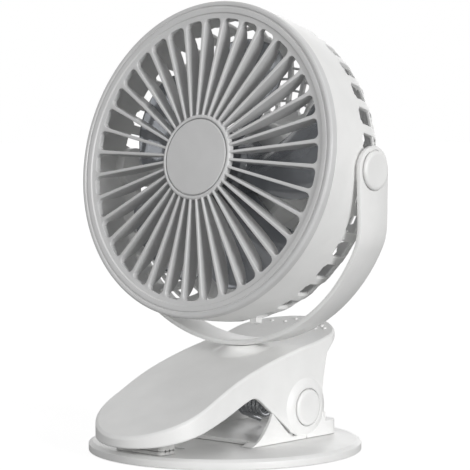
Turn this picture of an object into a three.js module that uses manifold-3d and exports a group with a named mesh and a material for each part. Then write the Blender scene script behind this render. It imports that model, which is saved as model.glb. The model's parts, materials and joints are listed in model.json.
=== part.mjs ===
// Clip fan: a round fan head in a swivelling yoke, standing on a spring clip with a round base.
// Millimetres. +Z is up, the fan faces -Y, and the origin is the middle of the base's underside.

import * as THREE from 'three';
import { mergeVertices } from 'three/addons/utils/BufferGeometryUtils.js';
import Module from 'manifold-3d';

const wasm = await Module();
wasm.setup();

// ---------------------------------------------------------------- driving dimensions

const FIT = 0.3; // gap between pieces that rest on or fit in each other
const WELD = 1e-4; // distance under which two vertices are one
const FUSE = 0.8; // depth to which one form runs into another before they are joined

// Base disc, its underside pad and its slot.
const BASE_RADIUS = 64;
const BASE_THICKNESS = 4.6;
const BASE_LIFT = 0.4; // the pad stands out of the disc by this
const BASE_BEVEL_WIDTH = 2.4;
const BASE_BEVEL_HEIGHT = 1.3;
const BASE_PAD_MARGIN = 10; // from the disc's edge to the pad's
const BASE_PAD_THICKNESS = 1.4;
const BASE_SLOT_LENGTH = 16;
const BASE_SLOT_WIDTH = 3.6;
const BASE_SLOT_Y = -37;

// Clip hinge and the bracket that carries it.
const HINGE_Y = 22.7;
const PIN_RADIUS = 2.5;
const EAR_THICKNESS = 3.1;
const EAR_RADIUS = 8.2;
const BRACKET_FRONT_Y = -16.5;
const BRACKET_REAR_Y = 48;
const BRACKET_FLOOR = 1.8;
const BRACKET_BLOCK_HEIGHT = 6.5;
const BRACKET_WALL = 2.6;
const BRACKET_CORNER = 7;
const CHEEK_APEX_Y = -1.8;
const CHEEK_APEX_DROP = 0.5; // below the hinge pin
const CHEEK_HORN_DROP = 3.5;
const CHEEK_OVERHANG = 0.6; // outside the lever's side
const CHEEK_FOOT = 1.7; // height of the cheek under the lobe
const CHEEK_SLIT = 0.9;
const LOBE_CLEARANCE = 0.9;

// Lever: the upper jaw and thumb plate in one moulding.
const LEVER_HALF_WIDTH = 30.4;
const LEVER_WALL = 2.4;
const LEVER_FRONT_Y = -72;
const LEVER_REAR_Y = 60;
const LEVER_NOSE_LENGTH = 27;
const LEVER_TAIL_LENGTH = 18;
const LEVER_NOSE_SQUARENESS = 2;
const LEVER_TAIL_SQUARENESS = 1.7;
const LEVER_EDGE_ROUND = 2.2;
const LOBE_RADIUS = 12;
const LOBE_FRONT_REACH = 10.2; // ahead of the hinge pin
const LOBE_FRONT_RISE = 1.3; // above the lobe's lowest point
const LOBE_REAR_REACH = 15.7; // behind the hinge pin
const ARCH_Y = -12.5;
const ARCH_RISE = 23.6; // above the base's top
const BOSS_RING_OVERHANG = 0.6; // beyond the lobe's round
const BOSS_RING_RISE = 1.6;
const CLIP_COVER_RADIUS = 8.5;
const CLIP_COVER_THICKNESS = 2.4;
const COVER_GROOVE = 0.45;

// Lever's top and its skirt's lower edge, as [y, height above the base's top] along its length.
const LEVER_TOP_LINE = [
  [-73, 8.2], [-66, 11.8], [-57, 16], [-44, 22.1], [-24, 31.1], [-3, 37.7], [18.4, 42.6],
  [33, 45.3], [43, 48], [50, 50.5], [57, 52.8], [61, 54],
];
const LEVER_SKIRT_LINE = [
  [-73, 4.2], [-65, 6.7], [-51, 11.2], [-34, 16], [-18, 21.6], [0, 26], [20, 31], [36, 36],
  [41.5, 41.7], [47, 45.4], [52, 47.7], [61, 51.4],
];

// Jaw pads.
const JAW_PAD_LENGTH = 30;
const JAW_PAD_WIDTH = 10;
const JAW_PAD_MARGIN = 10; // from the base's front edge to the middle of the pads
const LOWER_PAD_THICKNESS = 1.5;
const JAW_PAD_RIBS = 4;

// Clip spring, wound round the hinge pin.
const SPRING_WIRE = 1.8;
const SPRING_COIL_RADIUS = 6.2;
const SPRING_PITCH = 2.4;
const SPRING_TURNS = 5;
const SPRING_LOWER_LEG_ANGLE = -21;
const SPRING_UPPER_LEG_ANGLE = 60;
const SPRING_STEPS = 64;

// Swivel between the lever and the yoke.
const SWIVEL_Y = 11.6;
const COLLAR_RADIUS = 8;
const COLLAR_FLARE_RADIUS = 13;
const COLLAR_HEIGHT = 6;
const SWIVEL_TURN = 2.4; // degrees the yoke is turned at rest, as the photograph shows it
const COLLAR_RISE = 2.14; // above the lever's top at the swivel
const SPINDLE_RADIUS = 3;
const SPINDLE_HEAD_RADIUS = 5.2;
const SPINDLE_HEAD_THICKNESS = 1;
const SWIVEL_NUT_RADIUS = 6;
const SWIVEL_NUT_THICKNESS = 3.2;
const SWIVEL_WASHER_THICKNESS = 0.8;
const SWIVEL_SEAT_RADIUS = 8;
const SWIVEL_SEAT_DEPTH = 3;

// Yoke: a band round the lower half of the head.
const YOKE_CLEARANCE = 0.87; // round the front corner of the head as it tilts through
const YOKE_BOSS_HEIGHT = 0.2; // of the round foot under the band
const YOKE_THICKNESS = 2.3;
const YOKE_ARM_CLEARANCE = 0.6; // beside the head
const YOKE_ARM_HALF_WIDTH = 11;
const YOKE_FOOT_HALF_WIDTH = 9.6;
const YOKE_TAPER_HEIGHT = 54; // the arms narrow over this height below the tilt axis
const TILT_COVER_RADIUS = 8.9;
const TILT_COVER_THICKNESS = 2.1;
const TILT_SCREW_RADIUS = 2.5;
const TILT_SCREW_HEAD_RADIUS = 4.6;
const TILT_SCREW_HEAD_THICKNESS = 1.1;
const TILT_SCREW_LENGTH = 9.6;
const COVER_RECESS = 0.6;

// Fan head, about its tilt axis.
const HEAD_TILT = 10.3; // degrees that the head looks up at rest
const HEAD_RADIUS = 74;
const FRONT_AHEAD = 29.6; // front ring ahead of the tilt axis
const RIM_DEPTH = 4; // of the grille's rim, front to seam
const RIM_CHAMFER = 1;
const RIM_WIDTH = 2.1; // raised edge, then a groove, then a band stepped down to the opening
const GROOVE_WIDTH = 1;
const BAND_DEPTH = 0.2;
const STEP_WIDTH = 5.7;
const STEP_DEPTH = 0.8;
const SPIGOT_CLEARANCE = 0.9; // inside the rear shell's facets
const SPIGOT_LENGTH = 3.4;
const SPIGOT_WALL = 1.2;
const RING_WIDTH = 8.1;
const HUB_RIM_RADIUS = 19.8;
const HUB_RIM_WIDTH = 1.7;
const HUB_RISE = 4;
const HUB_THICKNESS = 3.2;
const BADGE_THICKNESS = 1;
const FIN_COUNT = 36;
const FIN_START_ANGLE = 2.5; // degrees below the tilt axis of the first fin
const FIN_THICKNESS = 1.5;
const FIN_HUB_DEPTH = 3;
const FIN_DEPTH = 10.4;
const FIN_BEND = 20.7; // from the fin's outer end to the bend of its front edge
const FIN_BELLY_START = 5.7; // and to the two ends of its belly
const FIN_BELLY_END = 16.7;

// Rear shell.
const SHELL_WALL = 2;
const SLOT_COUNT = 36;
const SLOT_WIDTH = 8.2;
const SLOT_LENGTH = 20.4;
const SLOT_AHEAD = 12.2; // from the hub's back face forward to the side slots' rear ends
const SLOT_CORNER_RIB = 1; // left between the side slots and the back's slots, across the axis
const BACK_SLOT_HUB_RIB = 3.5; // left between the hub and the back's slots
const BACK_SLOT_INSET = 16; // from the head's radius to the back slots' outer ends
const BACK_RIB_INNER = 2; // width of the ribs between them, at their inner and outer ends
const BACK_RIB_OUTER = 2.8;
const SHELL_SETBACK = 0.3; // of the shell's front edge inside the grille's rim
// The bowl's shoulder, as [distance ahead of the hub's back face, inset from the head's radius].
const SHELL_SHOULDER = [[24.2, 2], [14.2, 6.4], [8, 12.2], [3.2, 21.5]];
// Its inner line's steps from three of those points, as [forward, inward] in walls.
const SHELL_INNER_STEPS = [[-0.75, 1.4], [1.3, 0.1], [0.9, 0.5]];
const SHELL_HUB_WIDTH = 4;
const SHELL_HUB_STEP = 0.4; // of the hub's face behind the bowl
const SHELL_HUB_DEPTH = 58.2;
const SHELL_HUB_THICKNESS = 2.2;
const PIVOT_BOSS_RADIUS = 9.4;
const PIVOT_BOSS_LENGTH = 8.3;
const LUG_ANGLE = -75;
const LUG_SIZE = 4.4;
const LUG_RISE = 2.2;

// Motor, its housing and the controls at the back.
const HOUSING_RADIUS = 25;
const HOUSING_WALL = 1.8;
const HOUSING_LENGTH = 21.2;
const MOTOR_RADIUS = 12;
const MOTOR_LENGTH = 19;
const MOTOR_BOARD_GAP = 3;
const BOARD_AHEAD = 8.2; // of the hub's back face
const BOARD_RADIUS = 19;
const BOARD_THICKNESS = 1.2;
const CAP_THICKNESS = 2.2;
const CAP_RISE = 0.6;
const BUTTON_RADIUS = 6;
const BUTTON_Z = 7.5;
const BUTTON_RISE = 1.6;
const BUTTON_TRAVEL = 1;
const USB_WIDTH = 8.4;
const USB_HEIGHT = 3;
const USB_Z = -11;

// Impeller.
const BLADE_COUNT = 5;
const BLADE_CLEARANCE = 5.9; // inside the grille's opening
const BLADE_THICKNESS = 1.6;
const BLADE_SPREAD = 54; // degrees that a blade covers
const BLADE_SWEEP = 14; // degrees that its tip lags
const BLADE_ROOT_LENGTH = 15; // front to back
const BLADE_TIP_LENGTH = 10;
const IMPELLER_CLEARANCE = 2.2; // behind the fins
const IMPELLER_HUB_RADIUS = 15.5;
const IMPELLER_HUB_WALL = 1.8;
const IMPELLER_HUB_DEPTH = 18;
const SHAFT_RADIUS = 1.5;
const SPINNER_RADIUS = 4.6;
const SPINNER_THICKNESS = 1.8;

// ---------------------------------------------------------------- sizes that follow

const BASE_TOP = BASE_LIFT + BASE_THICKNESS;
const BASE_PAD_RADIUS = BASE_RADIUS - BASE_PAD_MARGIN;
const BRACKET_Z = BASE_TOP + FIT;
const BRACKET_BLOCK_TOP = BRACKET_Z + BRACKET_BLOCK_HEIGHT;
const HINGE_Z = BRACKET_Z + CHEEK_FOOT + LOBE_CLEARANCE + LOBE_RADIUS;
const JAW_PAD_Y = JAW_PAD_MARGIN - BASE_RADIUS;
const LOWER_PAD_TOP = BASE_TOP + FIT + LOWER_PAD_THICKNESS;
const EAR_OUTER_X = LEVER_HALF_WIDTH - LEVER_WALL - FIT;
const EAR_INNER_X = EAR_OUTER_X - EAR_THICKNESS;
const CHEEK_OUTER_X = LEVER_HALF_WIDTH + CHEEK_OVERHANG;
const LOBE_BOTTOM = HINGE_Z - LOBE_RADIUS;
const LOBE_FRONT_Y = HINGE_Y - LOBE_FRONT_REACH;
const LOBE_REAR_Y = HINGE_Y + LOBE_REAR_REACH;
const leverTop = lineThrough(LEVER_TOP_LINE, BASE_TOP);
const leverSkirt = lineThrough(LEVER_SKIRT_LINE, BASE_TOP);
const COLLAR_TOP_Z = leverTop(SWIVEL_Y) + COLLAR_RISE;
const FRONT_Y = -FRONT_AHEAD;
const SEAM_DEPTH = RIM_DEPTH + FIT;
const SHELL_EDGE_RADIUS = HEAD_RADIUS - SHELL_SETBACK;
const SPIGOT_RADIUS = SHELL_EDGE_RADIUS - SHELL_WALL - SPIGOT_CLEARANCE;
const GRILLE_OPENING_RADIUS = HEAD_RADIUS - RING_WIDTH;
const YOKE_INNER_RADIUS = Math.hypot(HEAD_RADIUS, FRONT_AHEAD - RIM_CHAMFER) + YOKE_CLEARANCE;
const TILT_Z = COLLAR_TOP_Z + FIT + YOKE_BOSS_HEIGHT + YOKE_THICKNESS + YOKE_INNER_RADIUS;
const YOKE_ARM_INNER_X = HEAD_RADIUS + YOKE_ARM_CLEARANCE;
const YOKE_ARM_OUTER_X = YOKE_ARM_INNER_X + YOKE_THICKNESS;
const YOKE_BOSS_BOTTOM = COLLAR_TOP_Z + FIT - TILT_Z;
const PIVOT_BOSS_OUTER_X = YOKE_ARM_INNER_X - FIT;
const COVER_FLOOR_X = YOKE_ARM_OUTER_X - COVER_RECESS;
const SPINDLE_HEAD_Z = TILT_Z - YOKE_INNER_RADIUS - SPINDLE_HEAD_THICKNESS - FIT;
const PIVOT_BOSS_INNER_X = PIVOT_BOSS_OUTER_X - PIVOT_BOSS_LENGTH;
const CAP_DEPTH = SHELL_HUB_DEPTH + CAP_RISE;
const SHELL_HUB_RADIUS = HOUSING_RADIUS + SHELL_HUB_WIDTH;
const BACK_SLOT_OUTER = HEAD_RADIUS - BACK_SLOT_INSET;
const BACK_SLOT_INNER = SHELL_HUB_RADIUS + BACK_SLOT_HUB_RIB;
const SLOT_INNER_RADIUS = BACK_SLOT_OUTER + SLOT_CORNER_RIB;
const SLOT_REAR_DEPTH = SHELL_HUB_DEPTH - SLOT_AHEAD;
const SLOT_FRONT_DEPTH = SLOT_REAR_DEPTH - SLOT_LENGTH;
const HOUSING_FRONT_DEPTH = SHELL_HUB_DEPTH - HOUSING_LENGTH;
const BOARD_DEPTH = SHELL_HUB_DEPTH - BOARD_AHEAD;
const MOTOR_REAR_DEPTH = BOARD_DEPTH - MOTOR_BOARD_GAP;
const MOTOR_FRONT_DEPTH = MOTOR_REAR_DEPTH - MOTOR_LENGTH;
const IMPELLER_FRONT_DEPTH = FIN_DEPTH + IMPELLER_CLEARANCE;
const BLADE_RADIUS = GRILLE_OPENING_RADIUS - BLADE_CLEARANCE;

// ---------------------------------------------------------------- forms and joins

const radians = (degrees) => (degrees * Math.PI) / 180;

// A smooth height line z(y) through [y, height] points, raised by a lift.
function lineThrough(points, lift) {
  const slope = points.map((_, i) => {
    const before = points[Math.max(i - 1, 0)];
    const after = points[Math.min(i + 1, points.length - 1)];
    return (after[1] - before[1]) / (after[0] - before[0]);
  });
  return (y) => {
    let i = points.findIndex((point) => point[0] > y) - 1;
    if (i === -2) i = points.length - 2;
    i = Math.max(i, 0);
    const span = points[i + 1][0] - points[i][0];
    const t = Math.min(Math.max((y - points[i][0]) / span, 0), 1);
    const rise = points[i + 1][1] - points[i][1];
    const ease = t * t * (3 - 2 * t);
    const start = t * (1 - t) * (1 - t) * span * slope[i];
    const end = t * t * (1 - t) * span * slope[i + 1];
    return lift + points[i][1] + rise * ease + start - end;
  };
}

// A closed mesh as a solid that can be joined and cut.
function solid(geometry) {
  const bare = geometry.clone();
  bare.deleteAttribute('normal');
  bare.deleteAttribute('uv');
  const welded = mergeVertices(bare, WELD);
  const place = welded.attributes.position.array;
  const corners = [];
  let volume = 0;
  for (let i = 0; i < welded.index.count; i += 3) {
    const [a, b, c] = [0, 1, 2].map((k) => welded.index.getX(i + k));
    if (a === b || b === c || c === a) continue;
    corners.push(a, b, c);
    const [p, q, r] = [a, b, c].map((k) => new THREE.Vector3().fromArray(place, 3 * k));
    volume += p.dot(q.cross(r));
  }
  if (volume < 0) corners.reverse();
  return new wasm.Manifold(new wasm.Mesh({
    numProp: 3,
    vertProperties: new Float32Array(place),
    triVerts: new Uint32Array(corners),
  }));
}

function joined(...solids) {
  return solids.reduce((whole, next) => whole.add(next));
}

function cut(body, ...tools) {
  return tools.reduce((whole, tool) => whole.subtract(tool), body);
}

function toGeometry(body) {
  const mesh = body.getMesh();
  const geometry = new THREE.BufferGeometry();
  geometry.setAttribute('position', new THREE.BufferAttribute(mesh.vertProperties, 3));
  geometry.setIndex(new THREE.BufferAttribute(mesh.triVerts, 1));
  geometry.computeVertexNormals();
  return geometry;
}

// Turns of an axis: what is made along Y lies along X or Z afterwards.
function alongAxis(geometry, axis) {
  if (axis === 'x') geometry.rotateZ(-Math.PI / 2);
  if (axis === 'z') geometry.rotateX(Math.PI / 2);
  return geometry;
}

// A closed [radius, height] outline revolved about an axis.
function revolved(outline, segments, axis = 'y') {
  const points = [...outline, outline[0]].map(([r, h]) => new THREE.Vector2(r, h));
  return solid(alongAxis(new THREE.LatheGeometry(points, segments), axis));
}

function rod(axis, radius, from, to, segments = 32) {
  return revolved([[0, from], [radius, from], [radius, to], [0, to]], segments, axis);
}

// A flat shape given an even thickness from one height to another along an axis.
// Along X the shape lies in (y, z), along Y in (x, z) and along Z in (x, y).
function slab(axis, shape, from, to, curveSegments = 6) {
  const depth = to - from;
  const geometry = new THREE.ExtrudeGeometry(shape, { depth, bevelEnabled: false, curveSegments });
  const turn = new THREE.Matrix4();
  if (axis === 'x') {
    turn.set(0, 0, 1, from, 1, 0, 0, 0, 0, 1, 0, 0, 0, 0, 0, 1);
  } else if (axis === 'y') {
    turn.set(1, 0, 0, 0, 0, 0, -1, to, 0, 1, 0, 0, 0, 0, 0, 1);
  } else {
    turn.set(1, 0, 0, 0, 0, 1, 0, 0, 0, 0, 1, from, 0, 0, 0, 1);
  }
  geometry.applyMatrix4(turn);
  return solid(geometry);
}

function polygon(points) {
  return new THREE.Shape(points.map(([u, v]) => new THREE.Vector2(u, v)));
}

function roundedRectangle(u0, v0, u1, v1, radius) {
  const shape = new THREE.Shape();
  shape.moveTo(u0 + radius, v0);
  shape.lineTo(u1 - radius, v0);
  shape.absarc(u1 - radius, v0 + radius, radius, -Math.PI / 2, 0);
  shape.lineTo(u1, v1 - radius);
  shape.absarc(u1 - radius, v1 - radius, radius, 0, Math.PI / 2);
  shape.lineTo(u0 + radius, v1);
  shape.absarc(u0 + radius, v1 - radius, radius, Math.PI / 2, Math.PI);
  shape.lineTo(u0, v0 + radius);
  shape.absarc(u0 + radius, v0 + radius, radius, Math.PI, 1.5 * Math.PI);
  return shape;
}

// A tube through given rings of points, closed by a flat or folded cap at both ends.
// Every ring starts on the middle line and runs round in the same sense.
function lofted(rings) {
  const count = rings[0].length;
  const place = rings.flat().flatMap((point) => [point.x, point.y, point.z]);
  const corners = [];
  for (let ring = 0; ring + 1 < rings.length; ring += 1) {
    for (let i = 0; i < count; i += 1) {
      const next = (i + 1) % count;
      const [a, b] = [ring * count + i, ring * count + next];
      corners.push(a, b, b + count, a, b + count, a + count);
    }
  }
  const last = (rings.length - 1) * count;
  for (let i = 0; i + 1 < count - i; i += 1) {
    const [a, b] = [i, i + 1];
    const [c, d] = [(count - i) % count, count - i - 1];
    if (i > 0) {
      corners.push(a, c, b);
      corners.push(last + a, last + b, last + c);
    }
    if (b !== d) {
      corners.push(b, c, d);
      corners.push(last + b, last + d, last + c);
    }
  }
  const geometry = new THREE.BufferGeometry();
  geometry.setAttribute('position', new THREE.Float32BufferAttribute(place, 3));
  geometry.setIndex(corners);
  return solid(geometry);
}

// ---------------------------------------------------------------- materials

const finishes = {
  whitePlastic: { color: 0xf0f0f0, roughness: 0.42, metalness: 0 },
  greyPlastic: { color: 0xc4c4c4, roughness: 0.4, metalness: 0 },
  clearPlastic: { color: 0xb9bec4, roughness: 0.15, metalness: 0 },
  rubber: { color: 0x9a9a9a, roughness: 0.8, metalness: 0 },
  steel: { color: 0xb0b3b6, roughness: 0.3, metalness: 1 },
  motorSteel: { color: 0x7d8084, roughness: 0.35, metalness: 1 },
  board: { color: 0x1f5a38, roughness: 0.5, metalness: 0 },
};

function piece(name, body, finish) {
  const mesh = new THREE.Mesh(toGeometry(body), new THREE.MeshStandardMaterial(finishes[finish]));
  mesh.name = name;
  return mesh;
}

// ---------------------------------------------------------------- base

function basePlate() {
  const r = BASE_RADIUS;
  const pocket = BASE_PAD_RADIUS + FIT;
  const pocketTop = BASE_PAD_THICKNESS + FIT;
  const outline = [
    [0, pocketTop], [pocket, pocketTop], [pocket, BASE_LIFT], [r - 0.6, BASE_LIFT],
    [r, BASE_LIFT + 0.6], [r, BASE_TOP - BASE_BEVEL_HEIGHT],
    [r - BASE_BEVEL_WIDTH * 0.3, BASE_TOP - BASE_BEVEL_HEIGHT * 0.3],
    [r - BASE_BEVEL_WIDTH, BASE_TOP], [0, BASE_TOP],
  ];
  const disc = revolved(outline, 60, 'z');
  const half = BASE_SLOT_LENGTH / 2;
  const edge = BASE_SLOT_WIDTH / 2;
  const slot = roundedRectangle(-half, BASE_SLOT_Y - edge, half, BASE_SLOT_Y + edge, edge);
  return cut(disc, slab('z', slot, BASE_LIFT, BASE_TOP + 1));
}

function basePad() {
  return rod('z', BASE_PAD_RADIUS, 0, BASE_PAD_THICKNESS, 40);
}

// Side view of one ear with the cheek in front of it, in (y, z).
function earShape() {
  const shape = new THREE.Shape();
  shape.moveTo(BRACKET_FRONT_Y, BRACKET_Z);
  shape.quadraticCurveTo(
    BRACKET_FRONT_Y + 9, BRACKET_Z + 2.6, CHEEK_APEX_Y, HINGE_Z - CHEEK_APEX_DROP,
  );
  const lean = radians(112);
  shape.lineTo(HINGE_Y + EAR_RADIUS * Math.cos(lean), HINGE_Z + EAR_RADIUS * Math.sin(lean));
  shape.absarc(HINGE_Y, HINGE_Z, EAR_RADIUS, lean, radians(-35), true);
  shape.lineTo(BRACKET_REAR_Y - 6, BRACKET_BLOCK_TOP);
  shape.lineTo(BRACKET_REAR_Y, BRACKET_BLOCK_TOP);
  shape.lineTo(BRACKET_REAR_Y, BRACKET_Z);
  return shape;
}

// Side view of the cheek outside an ear: it leaves room for the lever's lobe to turn.
function cheekShape() {
  const shape = new THREE.Shape();
  const reach = LOBE_RADIUS + LOBE_CLEARANCE;
  shape.moveTo(BRACKET_FRONT_Y, BRACKET_Z);
  shape.quadraticCurveTo(
    BRACKET_FRONT_Y + 9, BRACKET_Z + 2.6, CHEEK_APEX_Y, HINGE_Z - CHEEK_APEX_DROP,
  );
  shape.lineTo(LOBE_FRONT_Y - 2.6, HINGE_Z - reach + 1.4);
  shape.quadraticCurveTo(LOBE_FRONT_Y - 0.6, HINGE_Z - reach, LOBE_FRONT_Y + 2.4, HINGE_Z - reach);
  shape.lineTo(HINGE_Y, HINGE_Z - reach);
  const hornTop = HINGE_Z - CHEEK_HORN_DROP;
  const hornAngle = Math.asin(-CHEEK_HORN_DROP / reach);
  shape.absarc(HINGE_Y, HINGE_Z, reach, -Math.PI / 2, hornAngle);
  shape.lineTo(HINGE_Y + reach + 1.2, hornTop);
  shape.lineTo(HINGE_Y + reach + 1.2, BRACKET_BLOCK_TOP);
  shape.lineTo(BRACKET_REAR_Y, BRACKET_BLOCK_TOP);
  shape.lineTo(BRACKET_REAR_Y, BRACKET_Z);
  return shape;
}

function bracketSide(side) {
  const [a, b] = [side * EAR_INNER_X, side * EAR_OUTER_X].sort((p, q) => p - q);
  const [c, d] = [side * (EAR_OUTER_X - FUSE), side * CHEEK_OUTER_X].sort((p, q) => p - q);
  const slit = polygon([
    [HINGE_Y - CHEEK_SLIT / 2, BRACKET_Z - 1], [HINGE_Y + CHEEK_SLIT / 2, BRACKET_Z - 1],
    [HINGE_Y + CHEEK_SLIT / 2, HINGE_Z], [HINGE_Y - CHEEK_SLIT / 2, HINGE_Z],
  ]);
  const [e, f] = [side * EAR_OUTER_X, side * (CHEEK_OUTER_X + 1)].sort((p, q) => p - q);
  const cheek = cut(slab('x', cheekShape(), c, d, 8), slab('x', slit, e, f));
  return joined(slab('x', earShape(), a, b, 8), cheek);
}

function clipBracket() {
  const inner = EAR_INNER_X + FUSE;
  const floorTop = BRACKET_Z + BRACKET_FLOOR;
  const floor = polygon([
    [-inner, BRACKET_FRONT_Y + 6], [inner, BRACKET_FRONT_Y + 6],
    [inner, BRACKET_REAR_Y], [-inner, BRACKET_REAR_Y],
  ]);
  const back = polygon([
    [-inner, BRACKET_REAR_Y - BRACKET_WALL], [inner, BRACKET_REAR_Y - BRACKET_WALL],
    [inner, BRACKET_REAR_Y], [-inner, BRACKET_REAR_Y],
  ]);
  const whole = joined(
    bracketSide(-1),
    bracketSide(1),
    slab('z', floor, BRACKET_Z, floorTop),
    slab('z', back, BRACKET_Z, BRACKET_BLOCK_TOP),
  );
  const plan = roundedRectangle(
    -CHEEK_OUTER_X, BRACKET_FRONT_Y - BRACKET_CORNER, CHEEK_OUTER_X, BRACKET_REAR_Y, BRACKET_CORNER,
  );
  const bore = rod('x', PIN_RADIUS + FIT, -CHEEK_OUTER_X - 1, CHEEK_OUTER_X + 1, 24);
  return cut(
    whole.intersect(slab('z', plan, BRACKET_Z - 1, HINGE_Z + 2 * EAR_RADIUS)),
    bore.translate([0, HINGE_Y, HINGE_Z]),
  );
}

function hingePin() {
  const end = LEVER_HALF_WIDTH - FIT;
  return rod('x', PIN_RADIUS, -end, end, 24).translate([0, HINGE_Y, HINGE_Z]);
}

function ribbedPad(bottom, top, ribSide) {
  const half = JAW_PAD_LENGTH / 2;
  const front = JAW_PAD_Y - JAW_PAD_WIDTH / 2;
  const back = JAW_PAD_Y + JAW_PAD_WIDTH / 2;
  const body = slab('z', roundedRectangle(-half, front, half, back, 3), bottom, top, 3);
  const pitch = JAW_PAD_WIDTH / JAW_PAD_RIBS;
  const face = ribSide > 0 ? top : bottom;
  const grooves = [];
  for (let i = 1; i < JAW_PAD_RIBS; i += 1) {
    const y = front + i * pitch;
    const notch = polygon([[y - 0.7, face], [y, face - ribSide * 0.6], [y + 0.7, face]]);
    const wider = polygon([
      [y - 0.7, face], [y, face - ribSide * 0.6], [y + 0.7, face],
      [y + 0.7, face + ribSide], [y - 0.7, face + ribSide],
    ]);
    grooves.push(slab('x', notch, -half - 1, half + 1).add(slab('x', wider, -half - 1, half + 1)));
  }
  return cut(body, ...grooves);
}

function lowerJawPad() {
  return ribbedPad(BASE_TOP + FIT, LOWER_PAD_TOP, 1);
}

// ---------------------------------------------------------------- clip spring

// Middle line of the spring's wire: a leg, the coil round the hinge pin and a second leg.
class SpringLine extends THREE.Curve {
  constructor() {
    super();
    const lower = radians(SPRING_LOWER_LEG_ANGLE);
    const upper = radians(SPRING_UPPER_LEG_ANGLE);
    this.startAngle = lower - Math.PI / 2 + 2 * Math.PI;
    this.endAngle = upper + Math.PI / 2;
    this.turned = this.startAngle - this.endAngle + 2 * Math.PI * SPRING_TURNS;
    this.lowerDirection = [Math.cos(lower), Math.sin(lower)];
    this.upperDirection = [Math.cos(upper), Math.sin(upper)];
    this.rise = (SPRING_PITCH * this.turned) / (2 * Math.PI);
    const [, startZ] = this.onCoil(this.startAngle);
    const floor = BRACKET_Z + BRACKET_FLOOR + FIT + SPRING_WIRE / 2;
    this.lowerLength = (startZ - floor) / -this.lowerDirection[1];
    this.upperLength = this.reachUnderLever();
    this.coilLength = this.turned * SPRING_COIL_RADIUS;
    this.length = this.lowerLength + this.coilLength + this.upperLength;
  }

  onCoil(angle) {
    return [
      HINGE_Y + SPRING_COIL_RADIUS * Math.cos(angle),
      HINGE_Z + SPRING_COIL_RADIUS * Math.sin(angle),
    ];
  }

  // Length of the upper leg up to the underside of the lever's plate.
  reachUnderLever() {
    const [y, z] = this.onCoil(this.endAngle);
    const clear = LEVER_WALL + SPRING_WIRE + FIT;
    let length = 0;
    while (z + length * this.upperDirection[1]
      < leverTop(y + length * this.upperDirection[0]) - clear) length += 0.1;
    return length;
  }

  getPoint(t) {
    const along = t * this.length;
    const left = -this.rise / 2;
    if (along < this.lowerLength) {
      const [y, z] = this.onCoil(this.startAngle);
      const back = this.lowerLength - along;
      return new THREE.Vector3(
        left, y + back * this.lowerDirection[0], z + back * this.lowerDirection[1],
      );
    }
    const wound = Math.min((along - this.lowerLength) / this.coilLength, 1);
    const [y, z] = this.onCoil(this.startAngle - wound * this.turned);
    const on = Math.max(along - this.lowerLength - this.coilLength, 0);
    return new THREE.Vector3(
      left + wound * this.rise, y + on * this.upperDirection[0], z + on * this.upperDirection[1],
    );
  }
}

// Least distance between the surfaces of turns that lie side by side.
function leastSelfGap(curve, thickness, steps) {
  const points = Array.from({ length: steps + 1 }, (_, i) => curve.getPoint(i / steps));
  const skip = Math.ceil((steps * 3 * thickness) / curve.length);
  let least = Infinity;
  for (let i = 0; i < points.length; i += 1) {
    for (let k = i + skip; k < points.length; k += 1) {
      least = Math.min(least, points[i].distanceTo(points[k]));
    }
  }
  return least - thickness;
}

function clipSpring() {
  const line = new SpringLine();
  const section = new THREE.Shape();
  const sides = 5;
  for (let i = 0; i < sides; i += 1) {
    const angle = (2 * Math.PI * i) / sides;
    const [u, v] = [(SPRING_WIRE / 2) * Math.cos(angle), (SPRING_WIRE / 2) * Math.sin(angle)];
    if (i === 0) section.moveTo(u, v);
    else section.lineTo(u, v);
  }
  console.log(`clip_spring least self-gap ${leastSelfGap(line, SPRING_WIRE, 900).toFixed(2)} mm`);
  return solid(new THREE.ExtrudeGeometry(section, {
    steps: SPRING_STEPS, extrudePath: line, curveSegments: 1,
  }));
}

// ---------------------------------------------------------------- lever

// The lever's plan outline drawn in by an inset, from the nose round the +X side and back.
function leverOutline(inset) {
  const half = LEVER_HALF_WIDTH - inset;
  const noseStart = LEVER_FRONT_Y + LEVER_NOSE_LENGTH;
  const tailStart = LEVER_REAR_Y - LEVER_TAIL_LENGTH;
  const nose = Math.max(LEVER_NOSE_LENGTH - inset, 1);
  const tail = Math.max(LEVER_TAIL_LENGTH - inset, 1);
  const steps = 7;
  const side = [];
  for (let i = 0; i <= steps; i += 1) {
    const angle = (Math.PI / 2) * (i / steps);
    const power = 2 / LEVER_NOSE_SQUARENESS;
    side.push([half * Math.sin(angle) ** power, noseStart - nose * Math.cos(angle) ** power]);
  }
  for (let i = 1; i < steps; i += 1) {
    side.push([half, noseStart + ((tailStart - noseStart) * i) / steps]);
  }
  for (let i = 0; i <= steps; i += 1) {
    const angle = (Math.PI / 2) * (i / steps);
    const power = 2 / LEVER_TAIL_SQUARENESS;
    side.push([half * Math.cos(angle) ** power, tailStart + tail * Math.sin(angle) ** power]);
  }
  const other = side.slice(1, -1).reverse().map(([x, y]) => [-x, y]);
  return [...side, ...other];
}

function leverRing(inset, height) {
  return leverOutline(inset).map(([x, y]) => new THREE.Vector3(x, y, height(y)));
}

// The plate with its skirt: a skin over the outside, round the rim and up the inside.
function leverSkin() {
  const round = LEVER_EDGE_ROUND;
  const roof = (y) => leverTop(y) - LEVER_WALL;
  return lofted([
    leverRing(20, roof),
    leverRing(LEVER_WALL, roof),
    leverRing(LEVER_WALL, leverSkirt),
    leverRing(0, leverSkirt),
    leverRing(0, (y) => leverTop(y) - round),
    leverRing(round * 0.13, (y) => leverTop(y) - round * 0.5),
    leverRing(round * 0.5, (y) => leverTop(y) - round * 0.13),
    leverRing(round, leverTop),
    leverRing(20, leverTop),
  ]);
}

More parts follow.
